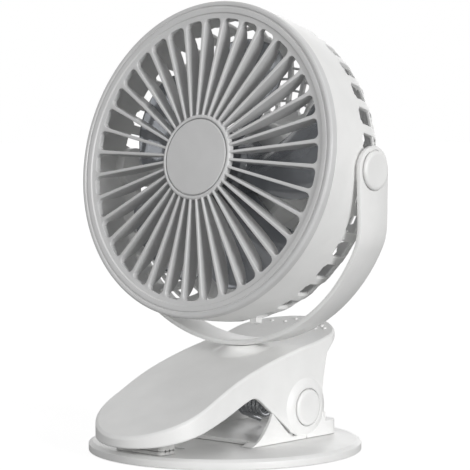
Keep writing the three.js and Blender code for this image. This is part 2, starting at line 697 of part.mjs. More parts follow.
// Side view of the lobe that reaches down to the hinge pin, in (y, z).
function lobeShape() {
  const shape = new THREE.Shape();
  const archTop = BASE_TOP + ARCH_RISE;
  shape.moveTo(ARCH_Y - 2, leverSkirt(ARCH_Y - 2) + 1);
  shape.quadraticCurveTo(ARCH_Y, archTop, ARCH_Y + 3.6, archTop - 3.2);
  shape.lineTo(LOBE_FRONT_Y - 1, LOBE_BOTTOM + LOBE_FRONT_RISE + 0.8);
  shape.quadraticCurveTo(LOBE_FRONT_Y + 1, LOBE_BOTTOM, LOBE_FRONT_Y + 5, LOBE_BOTTOM);
  shape.lineTo(HINGE_Y, LOBE_BOTTOM);
  shape.absarc(HINGE_Y, HINGE_Z, LOBE_RADIUS, -Math.PI / 2, radians(8));
  shape.quadraticCurveTo(HINGE_Y + LOBE_RADIUS + 0.6, HINGE_Z + 11.1, LOBE_REAR_Y, leverSkirt(LOBE_REAR_Y) - 1);
  shape.lineTo(LOBE_REAR_Y, leverTop(LOBE_REAR_Y) - LEVER_EDGE_ROUND);
  shape.lineTo(HINGE_Y, leverTop(HINGE_Y) - LEVER_EDGE_ROUND);
  shape.lineTo(ARCH_Y - 2, leverTop(ARCH_Y - 2) - LEVER_EDGE_ROUND);
  return shape;
}

function leverSide(side) {
  const at = (x) => side * x;
  const [a, b] = [at(LEVER_HALF_WIDTH - LEVER_WALL), at(LEVER_HALF_WIDTH)].sort((p, q) => p - q);
  const ringOuter = LEVER_HALF_WIDTH + BOSS_RING_RISE;
  const cupRadius = CLIP_COVER_RADIUS + COVER_GROOVE;
  const foot = LOBE_RADIUS + BOSS_RING_OVERHANG;
  const ring = revolved([
    [cupRadius, LEVER_HALF_WIDTH - FUSE], [foot, LEVER_HALF_WIDTH - FUSE],
    [foot, LEVER_HALF_WIDTH], [cupRadius + 1.4, ringOuter], [cupRadius, ringOuter],
  ], 32, 'x');
  const placed = side > 0 ? ring : ring.mirror([1, 0, 0]);
  return joined(
    slab('x', lobeShape(), a, b, 8),
    placed.translate([0, HINGE_Y, HINGE_Z]),
  );
}

function leverShell() {
  const seatBottom = leverTop(SWIVEL_Y) - LEVER_WALL - SWIVEL_SEAT_DEPTH;
  const seat = rod('z', SWIVEL_SEAT_RADIUS, seatBottom, leverTop(SWIVEL_Y - SWIVEL_SEAT_RADIUS) - 1);
  const shank = rod('z', SPINDLE_RADIUS + FIT, 0, TILT_Z, 24).translate([0, SWIVEL_Y, 0]);
  const bore = rod('x', PIN_RADIUS + FIT, -LEVER_HALF_WIDTH - 3, LEVER_HALF_WIDTH + 3, 24);
  return cut(
    joined(
      leverSkin(), leverSide(-1), leverSide(1), seat.translate([0, SWIVEL_Y, 0]),
    ),
    shank,
    bore.translate([0, HINGE_Y, HINGE_Z]),
  );
}

function clipCover(side) {
  const inner = LEVER_HALF_WIDTH + FIT;
  const outer = inner + CLIP_COVER_THICKNESS;
  const r = CLIP_COVER_RADIUS;
  const disc = revolved([
    [0, inner], [r, inner], [r, outer - 0.9], [r - 1.6, outer], [0, outer],
  ], 28, 'x');
  return (side > 0 ? disc : disc.mirror([1, 0, 0])).translate([0, HINGE_Y, HINGE_Z]);
}

// Collar that flares softly into the lever's sloping top.
function swivelCollar() {
  const [hole, r, flare] = [SPINDLE_RADIUS + FIT, COLLAR_RADIUS, COLLAR_FLARE_RADIUS];
  const foot = COLLAR_TOP_Z - COLLAR_HEIGHT;
  const ring = revolved([
    [hole, foot], [flare, foot], [flare, foot + COLLAR_HEIGHT * 0.35],
    [(r + flare) / 2, foot + COLLAR_HEIGHT * 0.52], [r + 0.5, foot + COLLAR_HEIGHT * 0.75],
    [r, COLLAR_TOP_Z - 0.4], [r - 0.4, COLLAR_TOP_Z], [hole, COLLAR_TOP_Z],
  ], 24, 'z').translate([0, SWIVEL_Y, 0]);
  const reach = flare + 2;
  const outline = [];
  for (let i = 0; i <= 10; i += 1) {
    const y = SWIVEL_Y - reach + (i * reach) / 5;
    outline.push([y, leverTop(y) + FIT]);
  }
  outline.push([SWIVEL_Y + reach, TILT_Z], [SWIVEL_Y - reach, TILT_Z]);
  return ring.intersect(slab('x', polygon(outline), -reach, reach));
}

function upperJawPad() {
  const top = leverTop(JAW_PAD_Y - JAW_PAD_WIDTH / 2) - LEVER_WALL - FIT - 0.4;
  return ribbedPad(LOWER_PAD_TOP + FIT, top, -1);
}

// ---------------------------------------------------------------- yoke

// Front view of the yoke's band: straight arms, soft elbows and a round foot.
function bandOutline(armX, radius, armTop) {
  const shape = new THREE.Shape();
  const elbow = -Math.acos(armX / radius);
  const corner = [armX, radius * Math.sin(elbow)];
  const soft = 0.07;
  shape.moveTo(armX, armTop);
  shape.lineTo(armX, corner[1] + 6);
  shape.quadraticCurveTo(
    corner[0], corner[1], radius * Math.cos(elbow - soft), radius * Math.sin(elbow - soft),
  );
  shape.absarc(0, 0, radius, elbow - soft, -Math.PI - elbow + soft, true);
  shape.quadraticCurveTo(-corner[0], corner[1], -armX, corner[1] + 6);
  shape.lineTo(-armX, armTop);
  return shape;
}

// Side view of the yoke, in (y, z): a rounded arm that narrows towards the foot.
function armProfile() {
  const shape = new THREE.Shape();
  const low = -YOKE_INNER_RADIUS - YOKE_THICKNESS - 2;
  shape.moveTo(-YOKE_FOOT_HALF_WIDTH, low);
  shape.lineTo(YOKE_FOOT_HALF_WIDTH, low);
  shape.lineTo(YOKE_FOOT_HALF_WIDTH, -YOKE_TAPER_HEIGHT);
  shape.lineTo(YOKE_ARM_HALF_WIDTH, 0);
  shape.absarc(0, 0, YOKE_ARM_HALF_WIDTH, 0, Math.PI);
  shape.lineTo(-YOKE_FOOT_HALF_WIDTH, -YOKE_TAPER_HEIGHT);
  return shape;
}

function yokeBody() {
  const w = YOKE_ARM_HALF_WIDTH;
  const outerRadius = YOKE_INNER_RADIUS + YOKE_THICKNESS;
  const outer = slab('y', bandOutline(YOKE_ARM_OUTER_X, outerRadius, 2 * w), -w, w, 18);
  const inner = slab('y', bandOutline(YOKE_ARM_INNER_X, YOKE_INNER_RADIUS, 3 * w), -w - 1, w + 1, 18);
  const boss = rod('z', COLLAR_RADIUS, YOKE_BOSS_BOTTOM, -YOKE_INNER_RADIUS - 1, 32);
  const reach = outerRadius + 2;
  const band = cut(joined(outer, boss), inner).intersect(slab('x', armProfile(), -reach, reach, 10));
  const screwBore = rod('x', TILT_SCREW_RADIUS + FIT, -reach, reach, 16);
  const recess = TILT_COVER_RADIUS + COVER_GROOVE;
  const headTop = -YOKE_INNER_RADIUS + 1;
  return cut(
    band,
    screwBore,
    rod('x', recess, COVER_FLOOR_X, reach, 32),
    rod('x', recess, -reach, -COVER_FLOOR_X, 32),
    rod('z', SPINDLE_RADIUS + FIT, YOKE_BOSS_BOTTOM - 1, headTop, 24),
    rod('z', SPINDLE_HEAD_RADIUS + FIT, SPINDLE_HEAD_Z - FIT - TILT_Z, headTop, 32),
  );
}

function tiltCover(side) {
  const r = TILT_COVER_RADIUS;
  const inner = COVER_FLOOR_X + FIT;
  const outer = inner + TILT_COVER_THICKNESS;
  const pocket = TILT_SCREW_HEAD_RADIUS + FIT;
  const pocketX = inner + TILT_SCREW_HEAD_THICKNESS + FIT;
  const cap = revolved([
    [0, pocketX], [pocket, pocketX], [pocket, inner], [r, inner], [r, outer - 0.8],
    [r - 1.5, outer], [0, outer],
  ], 24, 'x');
  return side > 0 ? cap : cap.mirror([1, 0, 0]);
}

function swivelSpindle() {
  const nutBottom = swivelNutTop() - SWIVEL_NUT_THICKNESS;
  return revolved([
    [0, nutBottom - 1], [SPINDLE_RADIUS, nutBottom - 1], [SPINDLE_RADIUS, SPINDLE_HEAD_Z],
    [SPINDLE_HEAD_RADIUS, SPINDLE_HEAD_Z], [SPINDLE_HEAD_RADIUS, SPINDLE_HEAD_Z + SPINDLE_HEAD_THICKNESS],
    [0, SPINDLE_HEAD_Z + SPINDLE_HEAD_THICKNESS],
  ], 18, 'z').translate([0, 0, -TILT_Z]);
}

function swivelNutTop() {
  const seat = leverTop(SWIVEL_Y) - LEVER_WALL - SWIVEL_SEAT_DEPTH;
  return seat - SWIVEL_WASHER_THICKNESS - 2 * FIT;
}

function washer(inner, outer, bottom, thickness, segments) {
  return revolved([
    [inner, bottom], [outer, bottom], [outer, bottom + thickness], [inner, bottom + thickness],
  ], segments, 'z');
}

function swivelWasher() {
  const bottom = swivelNutTop() + FIT - TILT_Z;
  return washer(SPINDLE_RADIUS + FIT, SWIVEL_SEAT_RADIUS - 1, bottom, SWIVEL_WASHER_THICKNESS, 18);
}

function swivelNut() {
  const bottom = swivelNutTop() - SWIVEL_NUT_THICKNESS - TILT_Z;
  const hexagon = rod('z', SWIVEL_NUT_RADIUS, bottom, bottom + SWIVEL_NUT_THICKNESS, 6);
  return cut(hexagon, rod('z', SPINDLE_RADIUS + FIT, bottom - 1, bottom + SWIVEL_NUT_THICKNESS + 1, 24));
}

// ---------------------------------------------------------------- fan head

const atDepth = (depth) => FRONT_Y + depth;

// Front ring with its rim, two grooves and the spigot that enters the rear shell.
function grilleRing() {
  const r = HEAD_RADIUS;
  const outline = [
    [GRILLE_OPENING_RADIUS, STEP_DEPTH], [r - STEP_WIDTH, STEP_DEPTH],
    [r - STEP_WIDTH + 0.4, BAND_DEPTH], [r - GROOVE_WIDTH - RIM_WIDTH, BAND_DEPTH],
    [r - GROOVE_WIDTH / 2 - RIM_WIDTH, STEP_DEPTH], [r - RIM_WIDTH, 0], [r - RIM_CHAMFER, 0],
    [r, RIM_CHAMFER], [r, RIM_DEPTH], [SPIGOT_RADIUS, RIM_DEPTH],
    [SPIGOT_RADIUS, RIM_DEPTH + SPIGOT_LENGTH],
    [SPIGOT_RADIUS - SPIGOT_WALL, RIM_DEPTH + SPIGOT_LENGTH], [GRILLE_OPENING_RADIUS, RIM_DEPTH],
  ];
  return revolved(outline.map(([radius, depth]) => [radius, atDepth(depth)]), 48);
}

// Hub with its raised rim and the recess for the blank disc.
function grilleHub() {
  const front = atDepth(-HUB_RISE);
  const r = HUB_RIM_RADIUS;
  return revolved([
    [0, front + HUB_THICKNESS], [0, front + BADGE_THICKNESS + FIT],
    [r - HUB_RIM_WIDTH, front + BADGE_THICKNESS + FIT], [r - HUB_RIM_WIDTH, front],
    [r - 0.5, front], [r, front + 0.5], [r, front + HUB_THICKNESS],
  ], 36);
}

// One fin, seen from its side in (radius, y): a thin front edge and a belly at its back.
function finShape() {
  const inner = HUB_RIM_RADIUS - FUSE;
  const outer = GRILLE_OPENING_RADIUS + FUSE;
  const hubFront = atDepth(-HUB_RISE) + 0.25;
  return polygon([
    [inner, hubFront], [outer - FIN_BEND, atDepth(-HUB_RISE * 0.42)],
    [outer, atDepth(STEP_DEPTH + 0.25)], [outer, atDepth(RIM_DEPTH - 0.7)],
    [outer - FIN_BELLY_START, atDepth(FIN_DEPTH - 3)],
    [outer - FIN_BELLY_END, atDepth(FIN_DEPTH - 2.2)], [inner, hubFront + FIN_HUB_DEPTH],
  ]);
}

function frontGrille() {
  const fin = slab('z', finShape(), -FIN_THICKNESS / 2, FIN_THICKNESS / 2);
  const fins = [];
  for (let i = 0; i < FIN_COUNT; i += 1) {
    fins.push(fin.rotate([0, (360 * i) / FIN_COUNT + FIN_START_ANGLE, 0]));
  }
  return joined(grilleRing(), grilleHub(), ...fins);
}

function hubBadge() {
  const front = atDepth(-HUB_RISE);
  const r = HUB_RIM_RADIUS - HUB_RIM_WIDTH - FIT;
  return revolved([
    [0, front], [r - 0.3, front], [r, front + 0.3], [r, front + BADGE_THICKNESS],
    [0, front + BADGE_THICKNESS],
  ], 36);
}

// The bowl without its slots.
function bowl() {
  const shoulder = SHELL_SHOULDER.map(([ahead, inset]) => [SHELL_HUB_DEPTH - ahead, HEAD_RADIUS - inset]);
  const [start, , turn, end] = shoulder;
  const inside = [start, turn, end].map(([depth, radius], i) => {
    const [forward, inward] = SHELL_INNER_STEPS[i];
    return [depth - forward * SHELL_WALL, radius - inward * SHELL_WALL];
  });
  const rim = SHELL_HUB_RADIUS - 1.4;
  const back = SHELL_HUB_DEPTH - SHELL_HUB_STEP;
  const outline = [
    [SEAM_DEPTH, SHELL_EDGE_RADIUS], ...shoulder, [back, rim], [back - 0.85 * SHELL_WALL, rim],
    ...inside.reverse(), [SEAM_DEPTH, SHELL_EDGE_RADIUS - SHELL_WALL],
  ];
  return revolved(outline.map(([depth, radius]) => [radius, atDepth(depth)]), SLOT_COUNT)
    .rotate([0, 180 / SLOT_COUNT, 0]); // every slot lies in one facet
}

// Cutter for one slot of the bowl's side, standing along +X.
function slotCutter() {
  const half = SLOT_WIDTH / 2;
  const [front, back] = [atDepth(SLOT_FRONT_DEPTH), atDepth(SLOT_REAR_DEPTH)];
  const slot = polygon([[front, -half], [back, -half], [back, half], [front, half]]);
  return slab('x', slot, SLOT_INNER_RADIUS, HEAD_RADIUS + 4);
}

// Cutter for one slot of the bowl's back, lying along +X: it widens outwards.
function backSlotCutter() {
  const halfAt = (radius, rib) => (Math.PI * radius) / SLOT_COUNT - rib / 2;
  const [a, b] = [BACK_SLOT_INNER, BACK_SLOT_OUTER];
  const [p, q] = [halfAt(a, BACK_RIB_INNER), halfAt(b, BACK_RIB_OUTER)];
  const slot = polygon([[a, -p], [b, -q], [b, q], [a, p]]);
  return slab('y', slot, atDepth(HOUSING_FRONT_DEPTH), atDepth(SHELL_HUB_DEPTH + 1));
}

function shellHub() {
  const back = atDepth(SHELL_HUB_DEPTH);
  return washerY(HOUSING_RADIUS + FIT, SHELL_HUB_RADIUS, back - SHELL_HUB_THICKNESS, back);
}

function washerY(inner, outer, from, to) {
  return revolved([[inner, from], [outer, from], [outer, to], [inner, to]], 36);
}

function stopLug() {
  const shape = polygon([
    [HEAD_RADIUS - 4, -LUG_SIZE / 2], [HEAD_RADIUS - 4, LUG_SIZE / 2],
    [HEAD_RADIUS - 1.4 + LUG_RISE, LUG_SIZE / 2 - 0.6],
    [HEAD_RADIUS - 1.4 + LUG_RISE, -LUG_SIZE / 2 + 0.6],
  ]);
  const lug = slab('y', shape, -LUG_SIZE / 2, LUG_SIZE / 2);
  return lug.rotate([0, -LUG_ANGLE, 0]);
}

function rearShell() {
  const cutter = slotCutter();
  const slots = [];
  for (let i = 1; i < SLOT_COUNT; i += 1) {
    if (i === SLOT_COUNT / 2) continue; // the tilt pivots stand here and at 0
    slots.push(cutter.rotate([0, (360 * i) / SLOT_COUNT, 0]));
  }
  const backCutter = backSlotCutter();
  for (let i = 0; i < SLOT_COUNT; i += 1) {
    slots.push(backCutter.rotate([0, (360 * i) / SLOT_COUNT, 0]));
  }
  const bossRight = rod('x', PIVOT_BOSS_RADIUS, PIVOT_BOSS_INNER_X, PIVOT_BOSS_OUTER_X, 28);
  const bossLeft = rod('x', PIVOT_BOSS_RADIUS, -PIVOT_BOSS_OUTER_X, -PIVOT_BOSS_INNER_X, 28);
  const screwBore = rod('x', TILT_SCREW_RADIUS + FIT, -HEAD_RADIUS - 4, HEAD_RADIUS + 4, 16);
  return cut(
    joined(cut(bowl(), ...slots), shellHub(), bossRight, bossLeft, stopLug()),
    screwBore,
  );
}

function tiltScrew(side) {
  const start = COVER_FLOOR_X + FIT;
  const tip = start - TILT_SCREW_LENGTH;
  const screw = revolved([
    [0, tip], [TILT_SCREW_RADIUS, tip], [TILT_SCREW_RADIUS, start], [TILT_SCREW_HEAD_RADIUS, start],
    [TILT_SCREW_HEAD_RADIUS, start + TILT_SCREW_HEAD_THICKNESS], [0, start + TILT_SCREW_HEAD_THICKNESS],
  ], 16, 'x');
  return side > 0 ? screw : screw.mirror([1, 0, 0]);
}

// Cup behind the motor, hung by its flange on the inside of the shell's hub ring.
function motorHousing() {
  const front = atDepth(HOUSING_FRONT_DEPTH);
  const flangeBack = atDepth(SHELL_HUB_DEPTH - SHELL_HUB_THICKNESS) - FIT;
  const back = atDepth(CAP_DEPTH - CAP_THICKNESS) - FIT;
  const r = HOUSING_RADIUS;
  const hole = MOTOR_RADIUS + FIT;
  return revolved([
    [hole, front], [r - 1.2, front], [r, front + 1.2], [r, flangeBack - 1.6],
    [SHELL_HUB_RADIUS - 0.6, flangeBack - 1.6], [SHELL_HUB_RADIUS - 0.6, flangeBack],
    [r, flangeBack], [r, back], [r - HOUSING_WALL, back], [r - HOUSING_WALL, front + HOUSING_WALL],
    [hole, front + HOUSING_WALL],
  ], 26);
}

function motorBody() {
  const r = MOTOR_RADIUS;
  const [front, back] = [atDepth(MOTOR_FRONT_DEPTH), atDepth(MOTOR_REAR_DEPTH)];
  return revolved([
    [SHAFT_RADIUS + FIT, front], [r - 1, front], [r, front + 1], [r, back - 1], [r - 1, back],
    [0, back], [0, front + 8], [SHAFT_RADIUS + FIT, front + 8],
  ], 24);
}

function controlBoard() {
  const front = atDepth(BOARD_DEPTH);
  return rod('y', BOARD_RADIUS, front, front + BOARD_THICKNESS, 32);
}

// Round cap with openings for the button and the charging inlet.
function rearCap() {
  const [front, back] = [atDepth(CAP_DEPTH - CAP_THICKNESS), atDepth(CAP_DEPTH)];
  const r = HOUSING_RADIUS;
  const disc = revolved([[0, front], [r, front], [r, back - 0.7], [r - 0.7, back], [0, back]], 30);
  const buttonHole = rod('y', BUTTON_RADIUS + FIT, front - 1, back + 1, 20);
  const half = USB_WIDTH / 2 + FIT;
  const edge = USB_HEIGHT / 2 + FIT;
  const inlet = roundedRectangle(-half, USB_Z - edge, half, USB_Z + edge, 1.2);
  return cut(disc, buttonHole.translate([0, 0, BUTTON_Z]), slab('y', inlet, front - 1, back + 1, 2));
}

function usbSocket() {
  const half = USB_WIDTH / 2;
  const edge = USB_HEIGHT / 2;
  const [front, back] = [atDepth(BOARD_DEPTH + BOARD_THICKNESS) + FIT, atDepth(CAP_DEPTH) - 0.2];
  const outer = slab('y', roundedRectangle(-half, USB_Z - edge, half, USB_Z + edge, 1), front, back, 2);
  const mouth = roundedRectangle(
    -half + 0.5, USB_Z - edge + 0.5, half - 0.5, USB_Z + edge - 0.5, 0.6,
  );
  return cut(outer, slab('y', mouth, front + 2, back + 1, 2));
}

function powerButton() {
  const r = BUTTON_RADIUS;
  const under = atDepth(CAP_DEPTH - CAP_THICKNESS) - FIT;
  const top = atDepth(CAP_DEPTH) + BUTTON_RISE;
  const bottom = atDepth(BOARD_DEPTH + BOARD_THICKNESS) + FIT + BUTTON_TRAVEL + 0.1;
  return revolved([
    [0, bottom], [2, bottom], [2, under - 1], [r + 1.2, under - 1], [r + 1.2, under], [r, under],
    [r, top - 0.6], [r - 0.6, top], [0, top],
  ], 20).translate([0, 0, BUTTON_Z]);
}

// ---------------------------------------------------------------- impeller

// One blade: rings of points round its section, from the hub out to the tip.
function impellerBlade() {
  const [spans, chords] = [5, 4];
  const innerR = IMPELLER_HUB_RADIUS - FUSE;
  const middle = atDepth(IMPELLER_FRONT_DEPTH + BLADE_ROOT_LENGTH / 2 + 1);
  const rings = [];
  for (let i = 0; i <= spans; i += 1) {
    const s = i / spans;
    const radius = innerR + (BLADE_RADIUS - innerR) * s;
    const length = BLADE_ROOT_LENGTH + (BLADE_TIP_LENGTH - BLADE_ROOT_LENGTH) * s;
    const roundOff = i === spans ? 0.72 : 1;
    const lag = radians(BLADE_SWEEP) * s * s;
    const at = (c, side) => {
      const angle = radians(BLADE_SPREAD) * (c - 0.5) * roundOff + lag;
      const camber = 1.6 * Math.sin(Math.PI * c);
      const thick = BLADE_THICKNESS * (0.35 + 0.65 * Math.sin(Math.PI * c)) * side * 0.5;
      const y = middle + length * (c - 0.5) * roundOff - camber + thick;
      return new THREE.Vector3(radius * Math.cos(angle), y, radius * Math.sin(angle));
    };
    const ring = [];
    for (let k = 0; k <= chords; k += 1) ring.push(at(k / chords, -1));
    for (let k = chords; k >= 0; k -= 1) ring.push(at(k / chords, 1));
    rings.push(ring);
  }
  return lofted(rings);
}

function impellerWheel() {
  const front = atDepth(IMPELLER_FRONT_DEPTH);
  const back = front + IMPELLER_HUB_DEPTH;
  const r = IMPELLER_HUB_RADIUS;
  const hole = SHAFT_RADIUS + FIT;
  const hub = revolved([
    [hole, front], [r - 2, front], [r, front + 2], [r, back], [r - IMPELLER_HUB_WALL, back],
    [r - IMPELLER_HUB_WALL, front + 3], [4, front + 3], [4, front + 9], [hole, front + 9],
  ], 30);
  const blade = impellerBlade();
  const blades = [];
  for (let i = 0; i < BLADE_COUNT; i += 1) blades.push(blade.rotate([0, (360 * i) / BLADE_COUNT, 0]));
  const bore = rod('y', r - IMPELLER_HUB_WALL, front + 3, back + 4, 30);
  return joined(hub, cut(joined(...blades), bore));
}

function motorShaft() {
  return rod('y', SHAFT_RADIUS, atDepth(IMPELLER_FRONT_DEPTH), atDepth(MOTOR_FRONT_DEPTH + 7.5), 16);
}

function impellerSpinner() {
  const back = atDepth(IMPELLER_FRONT_DEPTH) - FIT;
  const r = SPINNER_RADIUS;
  return revolved([
    [0, back - SPINNER_THICKNESS], [r - 1, back - SPINNER_THICKNESS], [r, back - 0.8], [r, back], [0, back],
  ], 24);
}

// ---------------------------------------------------------------- assembly

const fan = new THREE.Group();

const baseGroup = new THREE.Group();
baseGroup.add(
  piece('base_plate', basePlate(), 'whitePlastic'),
  piece('base_pad', basePad(), 'rubber'),
  piece('clip_bracket', clipBracket(), 'whitePlastic'),
  piece('hinge_pin', hingePin(), 'steel'),
  piece('lower_jaw_pad', lowerJawPad(), 'rubber'),
  piece('clip_spring', clipSpring(), 'steel'),
);

const leverGroup = new THREE.Group();
leverGroup.add(
  piece('lever_shell', leverShell(), 'whitePlastic'),
  piece('swivel_collar', swivelCollar(), 'whitePlastic'),
  piece('upper_jaw_pad', upperJawPad(), 'rubber'),
  piece('clip_cover_left', clipCover(-1), 'whitePlastic'),
  piece('clip_cover_right', clipCover(1), 'whitePlastic'),
);

const yokeGroup = new THREE.Group();
yokeGroup.position.set(0, SWIVEL_Y, TILT_Z);
yokeGroup.rotation.z = radians(SWIVEL_TURN);
yokeGroup.add(
  piece('yoke', yokeBody(), 'whitePlastic'),
  piece('swivel_spindle', swivelSpindle(), 'steel'),
  piece('swivel_washer', swivelWasher(), 'steel'),
  piece('swivel_nut', swivelNut(), 'steel'),
  piece('tilt_cover_left', tiltCover(-1), 'whitePlastic'),
  piece('tilt_cover_right', tiltCover(1), 'whitePlastic'),
);

const headGroup = new THREE.Group();
headGroup.rotation.x = -radians(HEAD_TILT);
headGroup.add(
  piece('front_grille', frontGrille(), 'greyPlastic'),
  piece('hub_badge', hubBadge(), 'greyPlastic'),
  piece('rear_shell', rearShell(), 'whitePlastic'),
  piece('tilt_screw_left', tiltScrew(-1), 'steel'),
  piece('tilt_screw_right', tiltScrew(1), 'steel'),
  piece('motor_housing', motorHousing(), 'whitePlastic'),
  piece('motor', motorBody(), 'motorSteel'),
  piece('control_board', controlBoard(), 'board'),
  piece('rear_cap', rearCap(), 'whitePlastic'),
  piece('usb_socket', usbSocket(), 'steel'),
  piece('power_button', powerButton(), 'greyPlastic'),
  piece('impeller', impellerWheel(), 'clearPlastic'),
  piece('motor_shaft', motorShaft(), 'steel'),
  piece('impeller_spinner', impellerSpinner(), 'clearPlastic'),
);

yokeGroup.add(headGroup);
fan.add(baseGroup, leverGroup, yokeGroup);

export default fan;
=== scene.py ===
"""Studio scene of a clip fan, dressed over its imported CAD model.

Sizes are in millimetres and are turned to metres where a mesh is made. The row frame has +Z up, the
fan's face along -Y and its origin in the middle of the base's underside. Head pieces are worked out
in the head's own frame, whose Y axis is the fan's axis and whose origin lies on the tilt axis.
"""

from __future__ import annotations

import json
import logging
import math
from dataclasses import dataclass
from enum import Enum

import bmesh
import bpy
import numpy as np
from mathutils import Matrix, Vector

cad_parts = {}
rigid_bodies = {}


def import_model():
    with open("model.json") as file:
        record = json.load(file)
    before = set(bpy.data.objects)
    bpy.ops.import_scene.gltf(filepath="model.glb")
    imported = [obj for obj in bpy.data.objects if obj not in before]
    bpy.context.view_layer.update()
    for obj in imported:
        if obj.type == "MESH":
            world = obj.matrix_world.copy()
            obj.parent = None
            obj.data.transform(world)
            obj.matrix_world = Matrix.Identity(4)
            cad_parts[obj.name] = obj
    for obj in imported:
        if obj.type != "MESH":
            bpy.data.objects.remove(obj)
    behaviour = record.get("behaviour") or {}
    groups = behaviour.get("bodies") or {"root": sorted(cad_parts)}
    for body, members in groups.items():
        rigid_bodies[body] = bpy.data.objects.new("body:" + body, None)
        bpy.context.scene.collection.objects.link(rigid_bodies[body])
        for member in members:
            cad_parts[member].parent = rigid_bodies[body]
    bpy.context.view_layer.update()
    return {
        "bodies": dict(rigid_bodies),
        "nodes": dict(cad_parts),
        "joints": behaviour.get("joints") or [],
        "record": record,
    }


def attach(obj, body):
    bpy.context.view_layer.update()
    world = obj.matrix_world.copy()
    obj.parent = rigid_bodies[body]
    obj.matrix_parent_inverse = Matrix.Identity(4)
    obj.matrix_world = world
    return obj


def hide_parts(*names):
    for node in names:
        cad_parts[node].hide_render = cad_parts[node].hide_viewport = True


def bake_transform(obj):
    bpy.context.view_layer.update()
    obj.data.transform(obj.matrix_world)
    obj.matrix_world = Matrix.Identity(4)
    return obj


LOG = logging.getLogger("clip_fan")
MM = 0.001


# ------------------------------------------------------------------ names and placements


class Axis(Enum):
    """Axis that a profile is turned about."""

    X = 0
    Y = 1
    Z = 2


class Side(Enum):
    """Left or right of the tilt axis, as the sign of X."""

    LEFT = -1
    RIGHT = 1


class Body(Enum):
    """Moving bodies of the fan."""

    BASE = "base"
    LEVER = "lever"
    YOKE = "yoke"
    HEAD = "head"
    IMPELLER = "impeller"
    BUTTON = "button"


@dataclass(frozen=True)
class Placement:
    """Where a sub-assembly's own frame stands in the row frame."""

    turn: float = 0.0
    tilt: float = 0.0
    origin: tuple[float, float, float] = (0.0, 0.0, 0.0)

    def apply(self, points: np.ndarray) -> np.ndarray:
        """Tilts points back about X, turns them about Z and moves them to the origin.

        Args:
            points: (n, 3) array in millimetres.

        Returns:
            The same points in the row frame, in millimetres.
        """
        tilt, turn = math.radians(self.tilt), math.radians(self.turn)
        x, y, z = points.T
        back = y * math.cos(tilt) + z * math.sin(tilt)
        high = z * math.cos(tilt) - y * math.sin(tilt)
        across = x * math.cos(turn) - back * math.sin(turn)
        along = x * math.sin(turn) + back * math.cos(turn)
        return np.stack([across, along, high], 1) + np.array(self.origin)


SWIVEL_Y = 11.6
TILT_Z = 131.3
SWIVEL_TURN = 2.4
HEAD_TILT = 10.3
HINGE_Y, HINGE_Z = 22.7, 19.9
ROW = Placement()
SWIVEL_PLACE = Placement(0.0, 0.0, (0.0, SWIVEL_Y, 0.0))
YOKE_PLACE = Placement(SWIVEL_TURN, 0.0, (0.0, SWIVEL_Y, TILT_Z))
HEAD_PLACE = Placement(SWIVEL_TURN, HEAD_TILT, (0.0, SWIVEL_Y, TILT_Z))
HINGE_PLACE = Placement(0.0, 0.0, (0.0, HINGE_Y, HINGE_Z))
HEAD_FRONT = -29.6  # the front ring's face, along the fan's axis
BORE = 3.3  # radius of the hole for the swivel's spindle


# ------------------------------------------------------------------ surfaces as arrays


@dataclass
class Skin:
    """A surface: points as an (n, 3) array and faces as lists of point numbers."""

    points: np.ndarray
    faces: list[list[int]]

    def placed(self, place: Placement) -> Skin:
        """Returns the surface in the row frame."""
        return Skin(place.apply(self.points), self.faces)

    def mirrored(self) -> Skin:
        """Returns the surface reflected in the plane X = 0."""
        return Skin(self.points * np.array([-1.0, 1.0, 1.0]), [face[::-1] for face in self.faces])

    def on(self, side: Side) -> Skin:
        """Returns the surface, made for the right, as it is on a side."""
        return self if side is Side.RIGHT else self.mirrored()


def joined(skins: list[Skin]) -> Skin:
    """Puts surfaces into one, each with its own points.

    Args:
        skins: the surfaces.

    Returns:
        One surface that holds them all.
    """
    starts = np.cumsum([0] + [len(skin.points) for skin in skins]).tolist()
    faces = [[i + start for i in face] for skin, start in zip(skins, starts) for face in skin.faces]
    return Skin(np.concatenate([skin.points for skin in skins]), faces)


def grid_faces(rows: int, columns: int, wrap_rows: bool, wrap_columns: bool) -> np.ndarray:
    """Quads of a grid whose point (i, j) has number i * columns + j.

    Args:
        rows: number of rows of points.
        columns: number of points in a row.
        wrap_rows: whether the last row meets the first.
        wrap_columns: whether each row closes on itself.

    Returns:
        (m, 4) array of point numbers.
    """
    i = np.arange(rows if wrap_rows else rows - 1)
    j = np.arange(columns if wrap_columns else columns - 1)
    i, j = (part.ravel() for part in np.meshgrid(i, j, indexing="ij"))
    low, high = i * columns, (i + 1) % rows * columns
    far = (j + 1) % columns
    return np.stack([low + j, low + far, high + far, high + j], 1)


def softened(profile: np.ndarray | list, radius: float, closed: bool = True, steps: int = 4) -> np.ndarray:
    """Rounds a profile's corners.

    Each corner becomes a quadratic curve between two points that lie the radius away from it along
    its edges, or at most 0.45 of an edge away. The ends of an open profile stay.

    Args:
        profile: (n, 2) points.
        radius: rounding in millimetres.
        closed: whether the profile is a loop.
        steps: points on each rounding.

    Returns:
        The rounded profile, (m, 2).
    """
    points = np.asarray(profile, float)

    def towards(other: np.ndarray) -> np.ndarray:
        """Points on the edges to the other corners."""
        edge = other - points
        length = np.linalg.norm(edge, axis=1, keepdims=True)
        return points + edge / length * np.minimum(radius, 0.45 * length)

    start, end = towards(np.roll(points, 1, 0))[:, None], towards(np.roll(points, -1, 0))[:, None]
    t = np.linspace(0, 1, steps)[None, :, None]
    curve = (1 - t) ** 2 * start + 2 * t * (1 - t) * points[:, None] + t**2 * end
    if closed:
        return curve.reshape(-1, 2)
    return np.concatenate([points[:1], curve[1:-1].reshape(-1, 2), points[-1:]])


